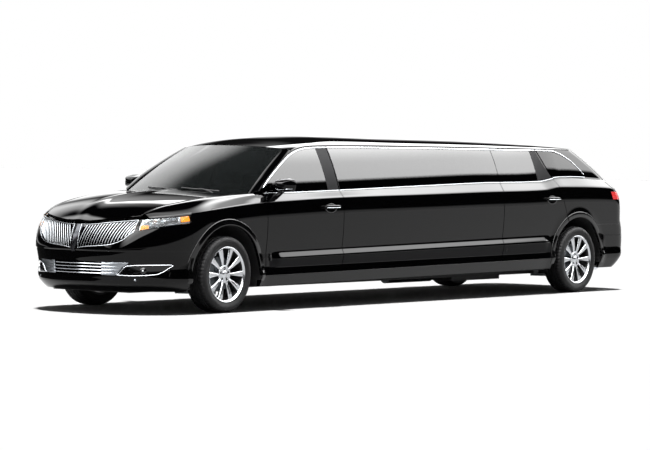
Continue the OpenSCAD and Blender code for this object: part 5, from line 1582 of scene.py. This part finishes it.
front_handle, rear_handle = (door_f0 - 991, 1005.0), (xr + 545, 1055.0)
for side, turn_over in SIDES:
    piece(f"mirror_head_{side}", turn_over(gather(head, tag(bright_strip, 1))), [paint, chrome],
          f"front_door_{side}", outward=True)
    piece(f"mirror_arm_{side}", turn_over(arm), [gloss_black], f"front_door_{side}", outward=True)
    piece(f"mirror_glass_{side}", turn_over(mirror_glass), [chrome], f"front_door_{side}", edge=1.0)
    for end, place in (("front", front_handle), ("rear", rear_handle)):
        piece(f"{end}_handle_{side}", turn_over(handle_part(*place)), [paint, chrome], f"{end}_door_{side}",
              outward=True)
        piece(f"{end}_handle_cup_{side}", turn_over(cup_part(*place)), [gloss_black], f"{end}_door_{side}",
              outward=True)

# %% [markdown]
# ## Wipers and inner mirror
# Two arms lie along the foot of the windshield, each with a blade. Their paths are read off the glass
# surface, so they rest on it. The inner mirror hangs from the glass by a short stem.


# %% Wipers and mirror on the glass
def on_shield(u, v, lift):
    """Points over the glass: places across and up the windshield, raised by a distance."""
    return shield_pt(u, v) + np.stack([0.45 * lift + 0 * u, 0 * u, 0.9 * lift + 0 * u], -1)


def wiper_part(u0, u1):
    """Arm from its pivot near the cowl and a blade along the foot of the glass."""
    t = np.linspace(0, 1, 25)
    blade = on_shield(mix(u0, u1, t), 0.03 + 0.035 * t, 9.0 + 0 * t)
    arm = on_shield(mix(u0 - 0.06, mix(u0, u1, 0.5), t), -0.01 + 0.06 * t, 14 + 10 * np.sin(t * np.pi))
    ring = oval(1, 1, 10)
    bars = []
    for path, size in ((blade, (9, 13)), (arm, (16, 9))):
        bars.append(rope(path[:, None]
                         + np.stack([ring[:, 0] * size[0], 0 * ring[:, 0], ring[:, 1] * size[1]], -1)))
    return gather(*bars)


piece("wipers", gather(wiper_part(0.62, 0.02), wiper_part(-0.02, -0.6)), [black_plastic], "body",
      outward=True)
u, v = lattice(np.sin(np.linspace(-1, 1, 31) * np.pi / 2), np.sin(np.linspace(-1, 1, 15) * np.pi / 2))
hang = shield_pt(np.array(0.0), np.array(0.8)) + np.array([-70.0, 0, -62.0])
back = hang + np.stack([14 * (1 - np.maximum(np.abs(u), np.abs(v))**3), 118 * u * (1 - 0.1 * v * v), 34 * v],
                       -1)
face = hang + np.stack([-9 + 0 * u, 118 * u * (1 - 0.1 * v * v), 34 * v], -1)
t = np.linspace(0, 1, 9)[:, None]
stem = mix(hang + np.array([4.0, 0, 20]), shield_pt(np.array(0.0), np.array(0.86)) - np.array([0, 0, 9.0]), t)
ring = oval(16, 16, 12)
stem = rope(stem[:, None] + np.stack([ring[:, 0], ring[:, 1], 0 * ring[:, 0]], -1))
piece("inner_mirror", gather(skin(back, face), stem), [black_plastic], "body", outward=True)

# %% [markdown]
# ## Tail lamps and rear fittings
# The corner lamps lie in the quarter panels and a long lamp joins them across the gate. Each
# is the body surface lifted by three millimetres, so its edge stands out, with ribs pressed
# into the red acrylic. The photograph doesn't show the tail, so the rest stays plain: a
# bright strip over the lamp, two reflectors, and two pipe ends.

# %% Corner lamps, gate lamp and strip
# Red acrylic over a burning bulb.
red_lit = finish("lit_red_acrylic", "#b00c16", "#e01c24", 8, (0.06, 0.1), IOR=1.49, Coat_Weight=0.6,
                 Emission_Color=linear("#ff2a2a"), Emission_Strength=0.5)
lamp_z0, lamp_z1 = 1036.0, 1126.0
k, r = lattice(np.linspace(0, 1, 41), np.linspace(0, 1, 19))
z = mix(lamp_z0 + 2, lamp_z1 - 2, r)
x = mix(xr - 668 + 40 * (r - 0.5), quarter_rear(z), k)
ribs = 0.8 * np.cos(r * 10 * np.pi)
out = side_normal(x, z)
corner = skin(side_pt(x, z) + out * (3.2 + ribs)[..., None], side_pt(x, z) - out * 12)
u, r = lattice(np.linspace(-1, 1, 81), np.linspace(0, 1, 19))
z = mix(lamp_z0 + 2, lamp_z1 - 2, r)
y = u * (gate_half(z) - 5)
ribs = 0.8 * np.cos(r * 10 * np.pi)
bar = skin(np.stack([tail_x(y, z) - 3.2 - ribs, y, z], -1), np.stack([tail_x(y, z) + 8, y, z], -1))
u = np.linspace(-1, 1, 81)
y = u * (gate_half(np.array(lamp_z1 + 12)) - 14)
path = np.stack([tail_x(y, lamp_z1 + 12 + 0 * y) - 2, y, lamp_z1 + 12 + 0 * y], -1)
fore, above = np.tile([-1.0, 0, 0], (81, 1)), np.tile([0, 0, 1.0], (81, 1))
gate_strip = rope(sweep(path, fore, above, oval(8, 11, 12, 2.4)))
piece("corner_tail_lamps", pair(corner), [red_lit], "body", ["tail_lamps"], edge=1.0, outward=True)
piece("gate_lamp", bar, [red_lens], "tailgate", edge=1.0, outward=True)
piece("gate_strip", gate_strip, [chrome], "tailgate", outward=True)


# %% High brake lamp, reflectors, valance and pipe ends
def tail_plate(y0, y1, z0, z1, proud, deep, n=25, m=9):
    """Piece of the tail's surface between two widths and two heights, lifted off it."""
    y, z = lattice(np.linspace(y0, y1, n), np.linspace(z0, z1, m))
    return skin(np.stack([tail_x(y, z) - proud, y, z], -1), np.stack([tail_x(y, z) + deep, y, z], -1))


piece("high_brake_lamp", tail_plate(-190, 190, 1546, 1562, 2.5, 4), [red_lens], "tailgate", edge=1.0,
      outward=True)
piece("rear_reflectors", pair(tail_plate(560, 690, 470, 505, 3.0, 6)), [red_lens], "body", edge=1.0,
      outward=True)
piece("rear_valance", tail_plate(-640, 640, 270, 372, 4.0, 10, 65), [black_plastic], "body", edge=3.0,
      outward=True)
a = np.arange(40) * 2 * np.pi / 40
ends = []
for along, wide_by in ((-6.0, 1.0), (-9.0, 0.97), (-9.0, 0.9), (10.0, 0.86), (150.0, 0.86),
                       (150.0, 0.96), (0.0, 1.0)):
    ends.append(np.stack([tail_at(262.0) + 24 + along + 0 * a, 520 + 78 * wide_by * np.cos(a),
                          246 + 38 * wide_by * np.sin(a)], -1))
pipe_end = rope(np.stack(ends), ring=True)
piece("exhaust_tips", pair(pipe_end), [chrome], "body", sharp=50, outward=True)

# %% [markdown]
# ## Splash shield
# A moulded sheet closes the front end from below, from the chin to the wheels, as such cars have. It is a
# grid between the wheels' line and the nose, with shallow waves that stiffen it.

# %% Sheet under the front end
k, y = lattice(np.linspace(0, 1, 13), np.linspace(-1, 1, 61))
y = y * mix(840, 800, k)
x = mix(xf + 440, nose_x(y, 232.0) - 24, k)
shield = np.stack([x, y, 226 + 8 * np.cos(k * 9)], -1)
piece("splash_shield", skin(shield, shield + [0, 0, 6]), [black_plastic], "body", outward=True)

# %% [markdown]
# ## Rain tray
# Rain runs through the slot between the hood and the windshield. A tray on the
# bulkhead catches it there, with a lip that turns up towards the engine. Without the
# tray, daylight would fall through the slot to the floor.

# %% Tray below the slot
k, y = lattice(np.linspace(0, 1, 13), np.linspace(-1, 1, 41))
tray = np.stack([mix(xf - 511, xf - 130, k), 470 * y, 962 + 26 * k**4], -1)
piece("rain_tray", skin(tray, tray + [0, 0, 4]), [black_plastic], "body", outward=True)

# %% [markdown]
# ## Padded seats
# Each pad starts as a rounded block a little smaller than the solid that stands for it, and
# Blender's Cloth blows it up from inside, because hide pulled over foam swells between its seams.
# The swelling is capped so that the pad keeps its place, and the sewn channels are pressed in
# afterwards. One pad of each size is enough; the rest are copies.

# %% Simulated pads
def block(size, n=25, m=48, power=7.0):
    """Rounded block: superellipse rings along X, whose size closes at both ends by the same power."""
    u = np.sin(np.linspace(-1, 1, n) * np.pi / 2)
    close = np.maximum(1 - np.abs(u)**power, 0.0)**(1 / power)
    ring = oval(1, 1, m, power)
    return rope(np.stack([0 * ring[:, 0] + (u * size[0] / 2)[:, None], ring[:, 0] * size[1] * close[:, None],
                          ring[:, 1] * size[2] * close[:, None]], -1))


def swollen(size, voxel=15.0, cap=11.0):
    """Points and faces of a pad: voxel remesh, cloth under pressure without gravity
    for 20 frames, movement capped."""
    co, quads, kind = block(tuple(s - 2 * cap for s in size))
    mesh = bpy.data.meshes.new("pad")
    mesh.from_pydata((co * MM).tolist(), [], [f[:3] if f[2] == f[3] else f for f in quads.tolist()])
    ob = bpy.data.objects.new("pad", mesh)
    bpy.context.scene.collection.objects.link(ob)
    remesh = ob.modifiers.new("voxels", "REMESH")
    remesh.mode, remesh.voxel_size = "VOXEL", voxel * MM
    even = bpy.data.meshes.new_from_object(ob.evaluated_get(bpy.context.evaluated_depsgraph_get()))
    ob.modifiers.clear()
    ob.data = even
    start = np.empty(len(even.vertices) * 3)
    even.vertices.foreach_get("co", start)
    start = moved = start.reshape(-1, 3)
    cloth = ob.modifiers.new("pressure", "CLOTH")
    cloth.settings.use_pressure, cloth.settings.uniform_pressure_force = True, 4.0
    cloth.settings.effector_weights.gravity = 0.0
    cloth.point_cache.frame_start, cloth.point_cache.frame_end = 1, 20
    for frame_number in range(1, 21):
        bpy.context.scene.frame_set(frame_number)
    blown = bpy.data.meshes.new_from_object(ob.evaluated_get(bpy.context.evaluated_depsgraph_get()))
    moved = np.empty(len(blown.vertices) * 3)
    blown.vertices.foreach_get("co", moved)
    moved = moved.reshape(-1, 3)
    bpy.context.scene.frame_set(1)
    step = moved - start
    far = np.linalg.norm(step, axis=1, keepdims=True)
    co = (start + step * np.minimum(1, cap * MM / np.maximum(far, 1e-9))) / MM
    faces = np.array([list(p.vertices) + [p.vertices[-1]] * (4 - len(p.vertices)) for p in even.polygons])
    bpy.data.objects.remove(ob)
    return co, faces, np.zeros(len(faces), int)


def sewn(part, axis, lines, face, depth=7.0):
    """Presses channels into one face: a narrow dip at each line along an axis, fading to the other faces."""
    co, faces, kind = part
    co = co.copy()
    side = np.clip(co[:, face[0]] * face[1] / np.abs(co[:, face[0]]).max(), 0, 1)**2
    dip = sum(np.exp(-((co[:, axis] - v) / 11.0)**2) for v in lines)
    co[:, face[0]] -= face[1] * depth * side * np.minimum(dip, 1)
    return co, faces, kind


def placed(part, centre, lean=0.0):
    """Leans a pad backward about Y by an angle in degrees, then puts its middle at a place."""
    c, s = np.cos(np.radians(lean)), np.sin(np.radians(lean))
    turn = np.array([[c, 0, -s], [0, 1, 0], [s, 0, c]])
    return part[0] @ turn.T + centre, part[1], part[2]


print("faces of a plain block:", len(block((600, 480, 150))[1]))

# %% Front seats
seat_z = 282.4
cushion = sewn(swollen((560, 500, 130)), 0, (-150, -50, 50, 150), (2, 1))
seat_back = sewn(swollen((130, 490, 560)), 2, (-170, -60, 50, 160), (0, 1))
head_rest = swollen((90, 260, 170), 9.0, 8.0)
foot = block((500, 460, 186), power=14.0)
pads, feet = [], []
for y in (-390.0, 390.0):
    x = xf - 1520
    pads += [placed(cushion, (x, y, seat_z + 254)), placed(seat_back, (x - 294.7, y, seat_z + 605.1), 16),
             placed(head_rest, (x - 416.2, y, seat_z + 940.1), 16)]
    feet.append(placed(foot, (x, y, seat_z + 95)))


def soft_piece(name, parts, stands_for=()):
    """Padded piece in hide, smoothed by one level of subdivision."""
    ob = piece(name, gather(*parts), [hide], "body", stands_for, sharp=180, outward=True)
    smooth = ob.modifiers.new("finer", "SUBSURF")
    smooth.levels = smooth.render_levels = 1


soft_piece("front_seat_pads", pads, ["front_seats"])

# %% Lounge of the passenger cabin
bench = sewn(swollen((600, 480, 150)), 0, (-170, -60, 50, 160), (2, 1))
bench_back = sewn(swollen((140, 480, 560)), 2, (-170, -60, 50, 160), (0, 1))
side_seat = sewn(swollen((612, 520, 150)), 0, (-205, -70, 70, 205), (2, 1))
side_back = sewn(swollen((612, 130, 380)), 0, (-205, -70, 70, 205), (1, 1))
lounge = []
for y in (-240.0, 240.0):
    lounge += [placed(bench, (xr + 630, y, seat_z + 225)),
               placed(bench_back, (xr + 331.2, y, seat_z + 578.6), 14)]
for k in range(4):
    x = xr + 960 + 612.5 * (k + 0.5)
    lounge += [placed(side_seat, (x, -504, seat_z + 225)), placed(side_back, (x, -699, seat_z + 489))]
feet += [placed(block((596, 950, 148), power=20.0), (xr + 630, 0, seat_z + 75)),
         placed(block((2446, 510, 148), 41, 48, 20.0), (xr + 2185, -504, seat_z + 75))]
soft_piece("lounge_pads", lounge, ["lounge"])
piece("seat_plinths", gather(*feet), [black_plastic], "body", outward=True)

# %% [markdown]
# ## Camera, floor and light
# The view stands off the left front corner, almost at eye height and far away, so a long
# lens is used. Black lacquer shows nothing but reflections, so the light is what draws the
# car: long softboxes beside it give the white band along the shoulder, dark walls keep the
# flanks black, and the pale floor lifts the lower half to grey.

# %% Camera
yaw, pitch, roll = np.radians([-141.36, -1.67, 0.72])
stand = (21.21 + xf * MM, 19.09, 1.67)
focal_in_widths = 2906.9 / 650
ahead = Vector((np.cos(pitch) * np.cos(yaw), np.cos(pitch) * np.sin(yaw), np.sin(pitch)))
level_right = ahead.cross(Vector((0, 0, 1))).normalized()
level_up = level_right.cross(ahead)
c, s = float(np.cos(roll)), float(np.sin(roll))
right, up = level_right * c + level_up * s, level_up * c - level_right * s
lens = bpy.data.cameras.new("view")
lens.sensor_width = 36.0
lens.lens = focal_in_widths * lens.sensor_width
lens.clip_end = 200
view = bpy.data.objects.new("view", lens)
view.matrix_world = Matrix(((right.x, up.x, -ahead.x, stand[0]), (right.y, up.y, -ahead.y, stand[1]),
                            (right.z, up.z, -ahead.z, stand[2]), (0, 0, 0, 1)))
bpy.context.scene.collection.objects.link(view)
bpy.context.scene.camera = view
print("lens", round(lens.lens, 1), "mm")


# %% Floor
def card(name, corners, z, mat):
    """Flat sheet at one height, given its corners in metres."""
    mesh = bpy.data.meshes.new(name)
    mesh.from_pydata([(x, y, z) for x, y in corners], [], [tuple(range(len(corners)))])
    mesh.materials.append(mat)
    ob = bpy.data.objects.new(name, mesh)
    bpy.context.scene.collection.objects.link(ob)
    return ob


# Painted floor: pale and matt.
floor_mat = finish("pale_studio_floor", "#f3f3f3", "#f5f5f5", 400, (0.85, 0.95), Specular_IOR_Level=0.0)
card("floor", [(-90, -90), (90, -90), (90, 90), (-90, 90)], -0.5 * MM, floor_mat)
print("floor laid")

# %% [markdown]
# The bumper faces a part of the floor outside the picture. A dark cloth lies there, as a
# photographer would put one. It is seen in reflections only.

# %% Dark cloth in front
# Woven cloth: dark grey and matt.
cloth_mat = finish("grey_studio_cloth", "#2c2c2c", "#303030", 400, (0.85, 0.95), Specular_IOR_Level=0.0)
left = np.radians(-134.3)
foot = stand[:2]
far = (foot[0] + 110 * float(np.cos(left)), foot[1] + 110 * float(np.sin(left)))
cloth_card = card("dark_cloth", [foot, far, (-52, -90), (90, -90), (90, 90)], 0.3 * MM, cloth_mat)
cloth_card.visible_camera = cloth_card.visible_diffuse = cloth_card.visible_shadow = False
cloth_card.visible_transmission = False
print("cloth laid")

# %% [markdown]
# A wide sun straight overhead lights the whole floor evenly, so the floor is white up to the edge of the
# shadow. It is hidden from mirrors, because its disc would show as a spot on the roof.

# %% Lamp
lamp = bpy.data.lights.new("overhead", "SUN")
lamp.energy, lamp.angle = 3.3, np.radians(5)
sun = bpy.data.objects.new("overhead", lamp)
sun.visible_glossy = False
bpy.context.scene.collection.objects.link(sun)
print("sun:", lamp.energy)

# %% [markdown]
# What the lacquer mirrors is the world, as a direction: dark walls up to a third of the
# way, then a long softbox on each side of the car that runs along it, a low white backdrop
# behind the car, a thin glow on the horizon, one softbox for the windshield and a black
# flag above it. The camera, and looks through glass, see plain white.

# %% World
world = bpy.data.worlds.new("studio")
bpy.context.scene.world = world
world.use_nodes = True
tree = world.node_tree
toward = add(tree, "ShaderNodeTexCoord").outputs["Generated"]
part_of = add(tree, "ShaderNodeSeparateXYZ", {0: toward}).outputs


def maths(operation, *values):
    """One Math node, its values linked or set in order."""
    return add(tree, "ShaderNodeMath", dict(enumerate(values)), operation=operation).outputs[0]


def ramp(value, start, stop, low, high):
    """Smooth step of a value from low to high between start and stop."""
    return add(tree, "ShaderNodeMapRange", {0: value, 1: start, 2: stop, 3: low, 4: high},
               interpolation_type="SMOOTHSTEP").outputs[0]


def patch(direction, inner_deg, outer_deg):
    """1 near a direction, 0 beyond the outer angle."""
    near = add(tree, "ShaderNodeVectorMath", {0: toward, 1: unit(np.array(direction))},
               operation="DOT_PRODUCT")
    return ramp(near.outputs["Value"], float(np.cos(np.radians(outer_deg))),
                float(np.cos(np.radians(inner_deg))), 0, 1)


rise = maths("MULTIPLY", maths("ARCTAN2", part_of[2], maths("ABSOLUTE", part_of[1])), float(180 / np.pi))
softbox = maths("ADD", ramp(rise, 34.5, 37, 0.01, 7.0), ramp(rise, 46, 66, 0, 8.0))
softbox = maths("MULTIPLY", softbox, ramp(rise, 74, 84, 1, 0.3))
beside = maths("MAXIMUM", ramp(maths("ABSOLUTE", part_of[1]), 0.06, 0.26, 0, 1),
               ramp(part_of[2], 0.3, 0.5, 0, 1))
softbox = maths("MULTIPLY", softbox, beside)
flag = maths("SUBTRACT", 1.0, patch((-0.3, -0.5, 0.8), 22, 28))
backdrop = maths("MULTIPLY", patch((-0.76, -0.65, 0), 10, 22), ramp(part_of[2], 0.05, 0.19, 1.6, 0))
screen_box = maths("MULTIPLY", patch((-0.40, -0.82, 0.42), 8, 24), 2.2)
horizon = ramp(part_of[2], 0.0, 0.02, 0.8, 0)
mirrored_light = maths("ADD", maths("MULTIPLY", softbox, flag),
                       maths("ADD", maths("MAXIMUM", backdrop, horizon), screen_box))

path = add(tree, "ShaderNodeLightPath").outputs
strength = add(tree, "ShaderNodeMix",
               {"Factor": path["Is Glossy Ray"], 2: 0.07, 3: mirrored_light}).outputs[0]
plain = maths("MAXIMUM", path["Is Camera Ray"], path["Is Transmission Ray"])
strength = add(tree, "ShaderNodeMix", {"Factor": plain, 2: strength, 3: 1.0}).outputs[0]
tree.links.new(strength, tree.nodes["Background"].inputs["Strength"])
tree.nodes["Background"].inputs["Color"].default_value = (1, 1, 1, 1)
bpy.context.scene.view_settings.view_transform = "Standard"
print("world nodes:", len(tree.nodes))
